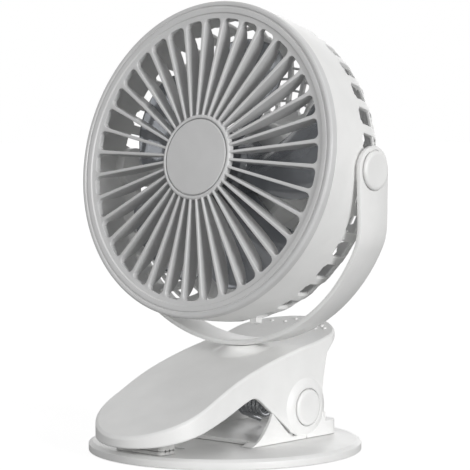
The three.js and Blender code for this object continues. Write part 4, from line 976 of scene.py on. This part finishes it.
@dataclass
class Yoke:
    """Band that carries the head, with its boss and its tilt covers."""

    inner_radius: float = 80.2
    thickness: float = 2.3
    arm_x: float = 74.6
    arm_half_width: float = 11.0
    foot_half_width: float = 9.6
    elbow_z: float = -27.0
    boss_radius: float = 8.0
    boss_low: float = 48.6 - TILT_Z
    recess_radius: float = 9.35
    recess_depth: float = 0.6
    button: tuple = (
        (0, 1.4), (4.9, 1.4), (4.9, 0), (8.9, 0), (8.9, 1.2), (8.5, 1.75), (7.5, 2.1), (6.3, 2.07), (0, 1.92),
    )
    section: tuple = ((0, 0.64), (0.08, 0.18), (0.28, 0), (0.72, 0), (0.92, 0.18), (1, 0.64))

    def outline(self, arm: float, radius: float) -> np.ndarray:
        """The band's line, from the top of the +X arm to the top of the other.

        The arm is straight, the elbow is a quadratic curve and the foot is a circle about the tilt
        axis.

        Args:
            arm: distance of the arm from the middle.
            radius: radius of the foot.

        Returns:
            (n, 2) points of x and z.
        """
        elbow = -math.acos(arm / radius)
        corner, soft = np.array([arm, radius * math.sin(elbow)]), elbow - 0.07
        top = self.arm_half_width * np.sin(np.linspace(np.pi / 2, 0, 22))
        z = np.concatenate([top, np.linspace(0, corner[1] + 6, 14)[1:]])
        arm_line = np.stack([np.full(len(z), arm), z], 1)
        end = radius * np.array([math.cos(soft), math.sin(soft)])
        t = np.linspace(0, 1, 10)[1:, None]
        bend = (1 - t) ** 2 * arm_line[-1] + 2 * t * (1 - t) * corner + t**2 * end
        angle = np.linspace(soft, -np.pi / 2, 46)[1:]
        foot = radius * np.stack([np.cos(angle), np.sin(angle)], 1)
        right = np.concatenate([arm_line, bend, foot])
        return np.concatenate([right, right[:-1][::-1] * np.array([-1.0, 1.0])])

    def half_width(self, z: np.ndarray) -> np.ndarray:
        """Half the band's width by height: round at the top, then narrowing to the foot.

        Args:
            z: heights over the tilt axis.

        Returns:
            The half widths.
        """
        reach = self.arm_half_width
        round_top = np.sqrt(np.maximum(reach**2 - np.maximum(z, 0) ** 2, 0))
        narrowing = np.interp(z, [2 * self.elbow_z, 0], [self.foot_half_width, reach])
        return np.where(z > 0, round_top, narrowing)

    def band(self) -> Skin:
        """The band: a flat section with rounded edges carried along its line.

        A section's point lies a share of the thickness out from the inner line and at plus or minus
        the half width less the rounding along Y.

        Returns:
            A closed surface.
        """
        inner = self.outline(self.arm_x, self.inner_radius)
        outer = self.outline(self.arm_x + self.thickness, self.inner_radius + self.thickness)
        share, inset = np.concatenate([self.section, self.section[::-1]]).T
        width = self.half_width(inner[:, 1])[:, None]
        flat = inner[:, None] + (outer - inner)[:, None] * share[None, :, None]
        y = np.repeat([1.0, -1.0], len(self.section)) * np.maximum(width - inset, 0.02)
        return lofted(np.stack([flat[..., 0], y, flat[..., 1]], -1))

    def boss(self) -> Skin:
        """Short round foot that stands on the lever's collar.

        Returns:
            A closed surface.
        """
        low, high, r = self.boss_low, -self.inner_radius - 0.4, self.boss_radius
        return turned([(BORE, low), (r - 0.5, low), (r, low + 0.4), (r, high), (BORE, high)], 0.2, 96, Axis.Z)

    def build(self, frame: dict) -> None:
        """Makes the yoke's pieces.

        Args:
            frame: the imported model.
        """
        obj = make_object("yoke_band", joined([self.band(), self.boss()]).placed(YOKE_PLACE))
        floor, r = self.arm_x + self.thickness - self.recess_depth, self.recess_radius
        recess = turned([(0, floor), (r, floor), (r, floor + 6), (0, floor + 6)], 0, 120, Axis.X, False)
        carve(obj, recess.placed(YOKE_PLACE))
        carve(obj, recess.mirrored().placed(YOKE_PLACE))
        dress(obj, WHITE_ABS, Body.YOKE, ("yoke",))
        side_buttons("tilt_button", self.button, 0.4, floor + 0.3, YOKE_PLACE, Body.YOKE, "tilt_cover")
        keep_nodes(frame, ("swivel_spindle", "swivel_washer", "swivel_nut"), ZINC_STEEL)


# ------------------------------------------------------------------ guard


@dataclass
class Guard:
    """Front grille: a stepped ring, radial fins and a hub with a blank disc."""

    radius: float = 74.0
    depth: float = 4.0
    opening: float = 65.9
    step_depth: float = 0.8
    hub_radius: float = 19.8
    hub_rim: float = 1.7
    hub_rise: float = 4.0
    hub_depth: float = 3.2
    disc_sunk: float = 1.3
    disc_gap: float = 0.45
    fins: int = 36
    first_fin: float = 2.5
    fin_width: float = 1.5
    fin_taper: float = 0.82
    corner: float = 2.6
    belly_line: tuple = (
        (16, -1.6), (19.2, -0.4), (26, 2.9), (36, 5.9), (48, 8.3), (57, 8.4), (61, 7), (64, 4.6), (66.4, 3.4),
        (70, 3.4),
    )
    slim_line: tuple = ((19.2, 0.8), (30, 0.95), (54, 1.05), (64, 1.3))
    # A fin's edges: depth from the edge's line, and how far the half thickness is drawn in there.
    fin_front: tuple = ((0, 9), (0, 0.4), (0.05, 0.17), (0.17, 0.05), (0.4, 0), (0.55, 0))
    fin_back: tuple = ((0.6, 0), (0.4, 0), (0.12, 0.14), (0, 0.4), (0, 9))

    def ring(self) -> Skin:
        """Ring: raised rim, groove, band and a step down to the opening.

        Returns:
            A closed surface.
        """
        r, d, back = self.radius, self.step_depth, self.depth
        profile = [
            (self.opening, d), (r - 5.8, d), (r - 5.4, 0.22), (r - 3.2, 0.15), (r - 3.0, 0.62), (r - 2.4, 0.62),
            (r - 2.1, 0.02), (r - 1.0, 0.0), (r - 0.3, 0.3), (r, 1.0), (r, back), (r - 3.2, back),
            (r - 3.2, back + 3.4), (r - 4.4, back + 3.4), (r - 4.6, back), (self.opening + 0.3, back),
            (self.opening, back - 0.4),
        ]
        return turned(profile, 0.16, 288, shift=HEAD_FRONT)

    def hub(self) -> Skin:
        """Hub: a rolled rim round a recess.

        Returns:
            A closed surface.
        """
        r, inner, sunk, back = self.hub_radius, self.hub_radius - self.hub_rim, self.disc_sunk, self.hub_depth
        profile = [
            (r, back), (r, 0.7), (r - 0.6, 0.05), (inner + 0.3, 0), (inner, 0.2), (inner, sunk), (0, sunk), (0, back),
        ]
        return turned(profile, 0.2, 160, shift=HEAD_FRONT - self.hub_rise)

    def front_edge(self, radius: np.ndarray) -> np.ndarray:
        """Depth of the fins' front edge: a low arch from the hub's rim to the ring's step.

        Args:
            radius: where the depths are wanted.

        Returns:
            The depths.
        """
        share = np.clip((radius - self.hub_radius) / (self.opening - self.hub_radius), 0, 1)
        sunk = 0.3 * (radius > self.opening)
        return -(self.hub_rise - 0.35) * (1 - share) ** 1.12 + self.step_depth * share + sunk

    def belly(self, radius: np.ndarray) -> np.ndarray:
        """Depth of the fins' back edge: a line through a few depths, averaged over 5 mm.

        Args:
            radius: where the depths are wanted.

        Returns:
            The depths.
        """
        dense = np.linspace(16, 70, 541)
        depth = np.interp(dense, *np.array(self.belly_line).T)
        return np.interp(radius, dense, np.convolve(np.pad(depth, 25, "edge"), np.ones(51) / 51, "valid"))

    def fin(self) -> Skin:
        """One fin along +X: a flat-sided blade with a belly at its back and a flare at the ring.

        The section at a radius has flat sides, a front edge rounded by 0.4 mm and a finer back edge.
        Its half thickness grows near the ring as the side of a circle of the corner's radius does, so
        that two fins and the ring bound a window with round corners.

        Returns:
            A closed surface.
        """
        parts = [np.linspace(19.2, 60, 18), np.linspace(61, 64.8, 9), np.linspace(65, 65.9, 10), [66.3]]
        radius = np.concatenate(parts)
        front, back = self.front_edge(radius)[:, None], self.belly(radius)[:, None]
        run = np.clip(radius - (self.opening - self.corner), 0, self.corner)
        flare = self.corner - np.sqrt(np.maximum(self.corner**2 - run**2, 0.01))
        half = (self.fin_width / 2 * np.interp(radius, *np.array(self.slim_line).T) + flare)[:, None]
        (ahead, drawn), (behind, narrow) = np.array(self.fin_front).T, np.array(self.fin_back).T
        depth = np.concatenate([front + ahead, back - behind], 1)
        width = np.concatenate([np.maximum(half - drawn, 0), np.maximum(half * self.fin_taper - narrow, 0)], 1)
        depth = np.concatenate([depth, depth[:, -2:0:-1]], 1) + HEAD_FRONT
        width = np.concatenate([width, -width[:, -2:0:-1]], 1)
        return lofted(np.stack([np.broadcast_to(radius[:, None], width.shape), depth, width], -1))

    def build(self) -> None:
        """Makes the guard's pieces: the grille, and the blank disc with a fine chamfer in its hub."""
        angles = -np.radians(np.arange(self.fins) * 360 / self.fins + self.first_fin)
        skin = joined([self.ring(), self.hub(), rotated_copies(self.fin(), angles)])
        piece("finned_guard", skin, HEAD_PLACE, GREY_ABS, Body.HEAD, ("front_grille",), 45)
        r, shift = self.hub_radius - self.hub_rim - self.disc_gap, HEAD_FRONT - self.hub_rise
        disc = turned([(0, 0), (r - 0.4, 0), (r, 0.3), (r, 1), (0, 1)], 0.15, 160, ring=False, shift=shift)
        piece("hub_disc", disc, HEAD_PLACE, GREY_ABS, Body.HEAD, ("hub_badge",))


# ------------------------------------------------------------------ rear shell


@dataclass
class RearShell:
    """Bowl behind the impeller, with slots over its shoulder and across its back."""

    wall: float = 2.0
    slots: int = 36
    slot_width: float = 8.2
    corner: float = 1.4
    side_slots: tuple[float, float] = (25.6, 46.0)
    back_slots: tuple[float, float] = (58.0, 32.5)
    back_ribs: tuple[float, float] = (2.8, 2.0)
    line: tuple = (
        (4.3, 73.7), (12, 73.6), (20, 73.3), (28, 72.7), (34, 72), (39.5, 70.2), (44, 67.6), (47.5, 65),
        (50.2, 61.8), (52.9, 57.6), (55, 52.5), (56.5, 45), (57.4, 36), (57.8, 27.6),
    )
    rows: tuple = (7, 1, 8, 1, 5, 1, 9, 1, 4)  # rows of faces before, between and after the slots' marks
    hub_radii: tuple[float, float] = (25.3, 29.0)
    hub_depth: float = 58.2
    cross: tuple[float, float] = (36.2, 37.8)
    back_rings: tuple[float, ...] = (37.6, 42.8, 48.0, 53.2)
    ring_half_width: float = 0.55
    ring_sunk: float = 0.25
    ring_depth: float = 1.45
    cross_sunk: float = 0.3
    cross_depth: float = 1.4
    boss: tuple = ((0, 66), (9.4, 66), (9.4, 73.9), (9.0, 74.3), (0, 74.3))
    stop: tuple = ((-2.2, 70.0), (2.2, 70.0), (1.6, 74.8), (-1.6, 74.8))
    stop_turn: float = -165.0

    def wall_line(self) -> tuple[np.ndarray, np.ndarray, np.ndarray, np.ndarray]:
        """Smooth outer line of the bowl with points where the slots and their roundings start and end.

        Returns:
            The rows' depths, their radii, the rows where the slots' ends and roundings lie, and
            whether each row is on the bowl's side rather than on its back.
        """
        depth, radius = np.array(self.line, float).T
        run = np.concatenate([[0], np.cumsum(np.hypot(np.diff(depth), np.diff(radius)))])
        fine = np.linspace(0, run[-1], 1200)
        lines, even = (np.interp(fine, run, depth), np.interp(fine, run, radius)), np.ones(61) / 61
        soft = [np.convolve(np.pad(line, 30, "edge"), even, "valid") for line in lines]
        soft[0][0], soft[1][0] = depth[0], radius[0]
        (start, end), (outer, inner), c = self.side_slots, self.back_slots, self.corner
        order = np.argsort(soft[1])
        sides = np.interp([start, start + c, end - c, end], soft[0], fine)
        backs = np.interp([outer, outer - c, inner + c, inner], soft[1][order], fine[order])
        stops = [fine[0], *sides, *backs, fine[-1]]
        parts = [np.linspace(a, b, n, endpoint=False) for a, b, n in zip(stops, stops[1:], self.rows)]
        at = np.concatenate([*parts, [fine[-1]]])
        marks = np.cumsum(self.rows)[:-1]
        return np.interp(at, fine, soft[0]), np.interp(at, fine, soft[1]), marks, at <= (sides[-1] + backs[0]) / 2

    def bowl(self) -> Skin:
        """The bowl's outer face as a grid with the slots left out.

        Column j of a pitch stands at the slot's half angle, its rounding or its middle, so every
        slot's sides are lines of the grid; the four corner points of a slot are drawn in along the
        diagonal to round it.

        Returns:
            An open surface, made thick afterwards.
        """
        depth, radius, marks, on_side = self.wall_line()
        pitch = 2 * np.pi / self.slots
        rib = np.interp(radius, self.back_slots[::-1], self.back_ribs[::-1])
        half = np.where(on_side, self.slot_width / 2 / radius, pitch / 2 - rib / 2 / radius)
        round_in = self.corner / radius
        start = np.full(len(half), -pitch / 2)
        local = np.stack([start, -half, -half + round_in, np.zeros(len(half)), half - round_in, half], 1)
        angle = (np.arange(self.slots)[None, :, None] * pitch + local[:, None, :]).reshape(len(half), -1)
        depth_grid, radius_grid = (np.repeat(values[:, None], angle.shape[1], 1) for values in (depth, radius))
        pull = 1 - math.cos(math.pi / 4)
        for edge_mark, inner_mark in ((0, 1), (3, 2), (4, 5), (7, 6)):
            e, i = marks[edge_mark], marks[inner_mark]
            for column, way in ((2, -1), (4, 1)):
                picked = np.arange(self.slots) * 6 + column
                angle[i, picked] += way * round_in[i] * pull
                depth_grid[i, picked] += (depth[e] - depth[i]) * pull
                radius_grid[i, picked] += (radius[e] - radius[i]) * pull
        points = on_axis(Axis.Y, depth_grid + HEAD_FRONT, radius_grid * np.cos(angle), radius_grid * np.sin(angle))
        faces = grid_faces(len(half), self.slots * 6, False, True)
        row, column = faces[:, 0] // (self.slots * 6), faces[:, 0] % (self.slots * 6)
        inside, middle = np.isin(column % 6, (1, 2, 3, 4)), np.isin(column % 6, (2, 3))
        keep = np.ones(len(faces), bool)
        at_pivots = np.isin(column // 6, (0, self.slots // 2))
        for first, closed in ((0, at_pivots), (4, np.zeros(len(faces), bool))):
            a, b, c, d = marks[first : first + 4]
            keep &= closed | ~(((row >= b) & (row < c) & inside) | ((row >= a) & (row < d) & middle))
        return Skin(points.reshape(-1, 3), faces[keep].tolist())

    def fittings(self) -> Skin:
        """Hub ring, tilt bosses, the small stop under the bowl and the thin rings across the slots.

        Returns:
            Closed surfaces.
        """
        (near, far), back = self.hub_radii, self.hub_depth
        hub = [(near, back - 2.2), (far, back - 2.2), (far, back), (near, back)]
        boss = turned(self.boss, 0.3, 72, Axis.X, False)
        stop = prism(softened(self.stop, 0.4), -2.2, 2.2, Axis.Y)
        stop = rotated_copies(stop, np.radians([self.stop_turn]))
        depth, wall = np.array(self.line, float).T
        half, rings = self.ring_half_width, []
        for radius in self.back_rings:
            high = float(np.interp(radius, wall[::-1], depth[::-1])) - self.ring_sunk
            low, inner, outer = high - self.ring_depth, radius - half, radius + half
            rings.append(turned([(inner, low), (outer, low), (outer, high), (inner, high)], 0.2, 144, shift=HEAD_FRONT))
        near, far = self.cross
        first, last = np.interp(self.cross, depth, wall) - self.cross_sunk
        cross = [(first - self.cross_depth, near), (first, near), (last, far), (last - self.cross_depth, far)]
        rings.append(turned(cross, 0.25, 216, shift=HEAD_FRONT))
        return joined([turned(hub, 0.35, 160, shift=HEAD_FRONT), boss, boss.mirrored(), stop, *rings])

    def build(self) -> None:
        """Makes the bowl thick, softens its edges and adds its fittings."""
        obj = make_object("slotted_bowl", self.bowl().placed(HEAD_PLACE))
        orient_outwards(obj, HEAD_PLACE)
        thick = obj.modifiers.new("wall", "SOLIDIFY")
        thick.thickness, thick.offset, thick.use_even_offset = self.wall * MM, -1.0, True
        bake_modifiers(obj)
        soften_edges(obj, 0.35)
        dress(obj, WHITE_ABS, Body.HEAD, ("rear_shell",), 45)
        piece("bowl_fittings", self.fittings(), HEAD_PLACE, WHITE_ABS, Body.HEAD)


# ------------------------------------------------------------------ impeller, motor and controls


@dataclass
class Drive:
    """Impeller with its spinner, the motor's housing, and the controls at the back.

    Profiles are radii and depths behind the front ring's face, or behind the impeller's front.
    """

    blades: int = 5
    blade_radius: float = 60.0
    spread: float = 54.0
    sweep: float = 14.0
    root_length: float = 15.0
    tip_length: float = 10.0
    thickness: float = 1.6
    hub_radius: float = 15.5
    hub_front: float = 12.6
    button_z: float = 7.5
    usb_z: float = -11.0
    hub: tuple = ((1.8, 0), (13.3, 0), (15.5, 2.2), (15.5, 18), (13.7, 18), (13.7, 3), (4, 3), (4, 9), (1.8, 9))
    nose: tuple = ((0, -2.1), (3.4, -2.05), (4.6, -1.1), (4.6, -0.3), (0, -0.3))
    cup: tuple = (
        (12.3, 37), (23.4, 37), (25, 38.6), (25, 54.1), (28.4, 54.1), (28.4, 55.7), (25, 55.7), (25, 56.3),
        (23.2, 56.3), (23.2, 38.8), (12.3, 38.8),
    )
    cap: tuple = ((0, 56.6), (25, 56.6), (25, 58), (24.2, 58.75), (23, 58.8), (0, 58.8))
    button_hole: tuple = ((0, 54.6), (6.3, 54.6), (6.3, 60.8), (0, 60.8))
    button: tuple = (
        (0, 52.6), (2, 52.6), (2, 55.3), (7.2, 55.3), (7.2, 56.3), (6, 56.3), (6, 59.7), (5.3, 60.35), (4, 60.28),
        (0, 60.05),
    )
    cap_mouth: tuple = (4.5, 1.8, 1.2, 54.6, 60.8)  # half width, half height, rounding, low and high
    inlet: tuple = (4.2, 1.5, 1.0, 51.5, 58.6)
    inlet_inside: tuple = (3.8, 1.15, 0.8, 53.5, 59.6)

    def blade(self) -> Skin:
        """One blade: sections whose angle, length and lag change from the hub to the tip.

        At share s of the span and share c of the chord the point stands at the spread times (c - 1/2)
        plus the sweep times s squared, and at the section's length times (c - 1/2) along the axis,
        less a camber that is a sine over the chord. The tip's corners are rounded by drawing in the
        chord near it.

        Returns:
            A closed surface.
        """
        inner = self.hub_radius - 0.8
        s = np.concatenate([np.linspace(0, 0.86, 14), np.linspace(0.89, 1, 8)])[:, None]
        c = np.concatenate([np.linspace(0, 1, 19), np.linspace(1, 0, 19)])[None]
        face = np.repeat([-1.0, 1.0], 19)[None]
        radius = inner + (self.blade_radius - inner) * s
        length = self.root_length + (self.tip_length - self.root_length) * s
        late = np.clip((s - 0.8) / 0.2, 0, 1)
        draw = 1 - 0.42 * (1 - np.sqrt(np.maximum(1 - late**2, 0)))
        angle = math.radians(self.spread) * (c - 0.5) * draw + math.radians(self.sweep) * s**2
        swell = np.sin(np.pi * c)
        thick = self.thickness * (0.3 + 0.7 * np.sqrt(np.maximum(swell, 0))) * face / 2
        middle = HEAD_FRONT + self.hub_front + self.root_length / 2 + 1
        y = middle + length * (c - 0.5) * draw - 1.6 * swell + thick
        return lofted(on_axis(Axis.Y, y, radius * np.cos(angle), radius * np.sin(angle)))

    def slot(self, half: float, edge: float, corner: float, low: float, high: float) -> Skin:
        """Block with a rounded rectangle's section where the charging inlet is.

        Args:
            half: half its width.
            edge: half its height.
            corner: its corners' rounding.
            low: depth of its front.
            high: depth of its back.

        Returns:
            A closed surface in the row frame.
        """
        z = self.usb_z
        outline = [(-half, z - edge), (half, z - edge), (half, z + edge), (-half, z + edge)]
        block = prism(softened(outline, corner, True, 7), low + HEAD_FRONT, high + HEAD_FRONT, Axis.Y)
        return block.placed(HEAD_PLACE)

    def raised(self, skin: Skin) -> Skin:
        """Returns a surface moved up to the button's height."""
        return Skin(skin.points + np.array([0, 0, self.button_z]), skin.faces)

    def build(self, frame: dict) -> None:
        """Makes the impeller, its nose, the motor's cup, the cap behind it, the button and the inlet.

        Args:
            frame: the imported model.
        """
        front = HEAD_FRONT + self.hub_front
        angles = -np.radians(np.arange(self.blades) * 360 / self.blades)
        wheel = joined([turned(self.hub, 0.4, 120, shift=front), rotated_copies(self.blade(), angles)])
        piece("bladed_wheel", wheel, HEAD_PLACE, IMPELLER_PS, Body.IMPELLER, ("impeller",), 60)
        nose = turned(self.nose, 0.4, 64, ring=False, shift=front)
        piece("nose_cap", nose, HEAD_PLACE, IMPELLER_PS, Body.IMPELLER, ("impeller_spinner",))
        cup = turned(self.cup, 0.3, 140, shift=HEAD_FRONT)
        piece("motor_cup", cup, HEAD_PLACE, WHITE_ABS, Body.HEAD, ("motor_housing",))
        cap = make_object("control_cap", turned(self.cap, 0.3, 160, ring=False, shift=HEAD_FRONT).placed(HEAD_PLACE))
        hole = turned(self.button_hole, 0, 72, shift=HEAD_FRONT, ring=False)
        carve(cap, self.raised(hole).placed(HEAD_PLACE))
        carve(cap, self.slot(*self.cap_mouth))
        soften_edges(cap, 0.2, 50)
        dress(cap, WHITE_ABS, Body.HEAD, ("rear_cap",))
        knob = self.raised(turned(self.button, 0.35, 96, ring=False, shift=HEAD_FRONT))
        piece("push_button", knob, HEAD_PLACE, GREY_ABS, Body.BUTTON, ("power_button",))
        can = make_object("inlet_can", self.slot(*self.inlet))
        carve(can, self.slot(*self.inlet_inside))
        dress(can, ZINC_STEEL, Body.HEAD, ("usb_socket",))
        keep_nodes(frame, ("motor",), MOTOR_STEEL)
        keep_nodes(frame, ("control_board",), SOLDER_MASK)
        keep_nodes(frame, ("motor_shaft", "tilt_screw_left", "tilt_screw_right"), ZINC_STEEL)


# ------------------------------------------------------------------ studio


@dataclass
class Studio:
    """White studio: floor, soft lights and the camera at the photograph's angle."""

    azimuth: float = 41.41
    elevation: float = 3.03
    roll: float = -0.15
    distance: float = 935.6
    aside: float = 4.92
    height: float = 100.48
    focal_pixels: float = 2000.0
    picture_pixels: float = 470.0
    sensor: float = 36.0
    floor_radii: tuple = (0.0, 300.0, 1000.0, 4000.0, 20000.0)
    floor_glow: float = 0.84
    fill_level: float = 0.3
    lamps: tuple = (  # name, strength, the way to it and its spread in degrees
        ("key", 2.0, (1.0, -0.2, 0.2), 22),
        ("front", 0.75, (0.1, -1.0, 0.25), 40),
        ("back", 0.4, (-0.6, 1.0, 0.1), 40),
    )

    def camera(self) -> None:
        """Places the camera on the fitted line of sight."""
        a, e, r = (math.radians(angle) for angle in (self.azimuth, self.elevation, self.roll))
        back = Vector((math.sin(a) * math.cos(e), -math.cos(a) * math.cos(e), math.sin(e)))
        right = Vector((0, 0, 1)).cross(back).normalized()
        up = back.cross(right)
        right, up = right * math.cos(r) + up * math.sin(r), up * math.cos(r) - right * math.sin(r)
        place = (right * self.aside + Vector((0, 0, self.height)) + back * self.distance) * MM
        data = bpy.data.cameras.new("camera")
        data.lens = self.focal_pixels / self.picture_pixels * self.sensor
        data.sensor_width = self.sensor
        data.clip_start, data.clip_end = 0.05, 50
        camera = link_object("camera", data)
        camera.matrix_world = Matrix.Translation(place) @ Matrix((right, up, back)).transposed().to_4x4()
        bpy.context.scene.camera = camera

    def floor(self) -> None:
        """Lays a white floor that keeps shadows and looks white to the camera."""
        angle, radii = np.linspace(0, 2 * np.pi, 96, endpoint=False), np.array(self.floor_radii)[:, None]
        points = on_axis(Axis.Z, np.array(-0.05), radii * np.cos(angle), radii * np.sin(angle))
        obj = make_object("floor", Skin(points.reshape(-1, 3), grid_faces(len(radii), 96, False, True).tolist()))
        made = bpy.data.materials.new("white_seamless_paper")
        made.use_nodes = True
        tree = made.node_tree
        tree.nodes.clear()
        seen = add_node(tree, "ShaderNodeLightPath").outputs["Is Camera Ray"]
        paper = add_node(tree, "ShaderNodeBsdfDiffuse", {"Color": linear("#adadad")}).outputs["BSDF"]
        glow = add_node(tree, "ShaderNodeEmission", {"Strength": self.floor_glow}).outputs["Emission"]
        lit = add_node(tree, "ShaderNodeAddShader", {}, {0: paper, 1: glow}).outputs["Shader"]
        mix = add_node(tree, "ShaderNodeMixShader", {}, {0: seen, 1: paper, 2: lit})
        add_node(tree, "ShaderNodeOutputMaterial", {}, {"Surface": mix.outputs["Shader"]})
        obj.data.materials.append(made)

    def world(self) -> None:
        """Fills the room with even light and shows plain white behind the object."""
        world = bpy.data.worlds.new("studio")
        bpy.context.scene.world = world
        world.use_nodes = True
        tree = world.node_tree
        tree.nodes.clear()
        path = add_node(tree, "ShaderNodeLightPath").outputs
        white, fill = (
            add_node(tree, "ShaderNodeBackground", {"Color": (1, 1, 1, 1), "Strength": level}).outputs["Background"]
            for level in (1.0, self.fill_level)
        )
        rays = {0: path["Is Camera Ray"], 1: path["Is Glossy Ray"]}
        sight = add_node(tree, "ShaderNodeMath", {"operation": "MAXIMUM"}, rays).outputs["Value"]
        mix = add_node(tree, "ShaderNodeMixShader", {}, {0: sight, 1: fill, 2: white})
        add_node(tree, "ShaderNodeOutputWorld", {}, {"Surface": mix.outputs["Shader"]})

    def lights(self) -> None:
        """Sets a broad key light at the right and weaker ones in front and behind."""
        for name, strength, way, spread in self.lamps:
            data = bpy.data.lights.new(name, "SUN")
            data.energy, data.angle = strength, math.radians(spread)
            lamp = link_object(name, data)
            lamp.rotation_mode = "QUATERNION"
            lamp.rotation_quaternion = Vector(way).to_track_quat("Z", "Y")

    def build(self) -> None:
        """Sets up the studio."""
        bpy.context.scene.view_settings.view_transform = "Standard"
        self.camera()
        self.floor()
        self.world()
        self.lights()


def main() -> None:
    """Builds the fan over its frame, and the studio."""
    logging.basicConfig(level=logging.INFO, format="%(name)s %(message)s")
    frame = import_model()
    Studio().build()
    Base().build(frame)
    Lever().build(frame)
    Yoke().build(frame)
    Guard().build()
    RearShell().build()
    Drive().build(frame)


if __name__ == "__main__":
    main()
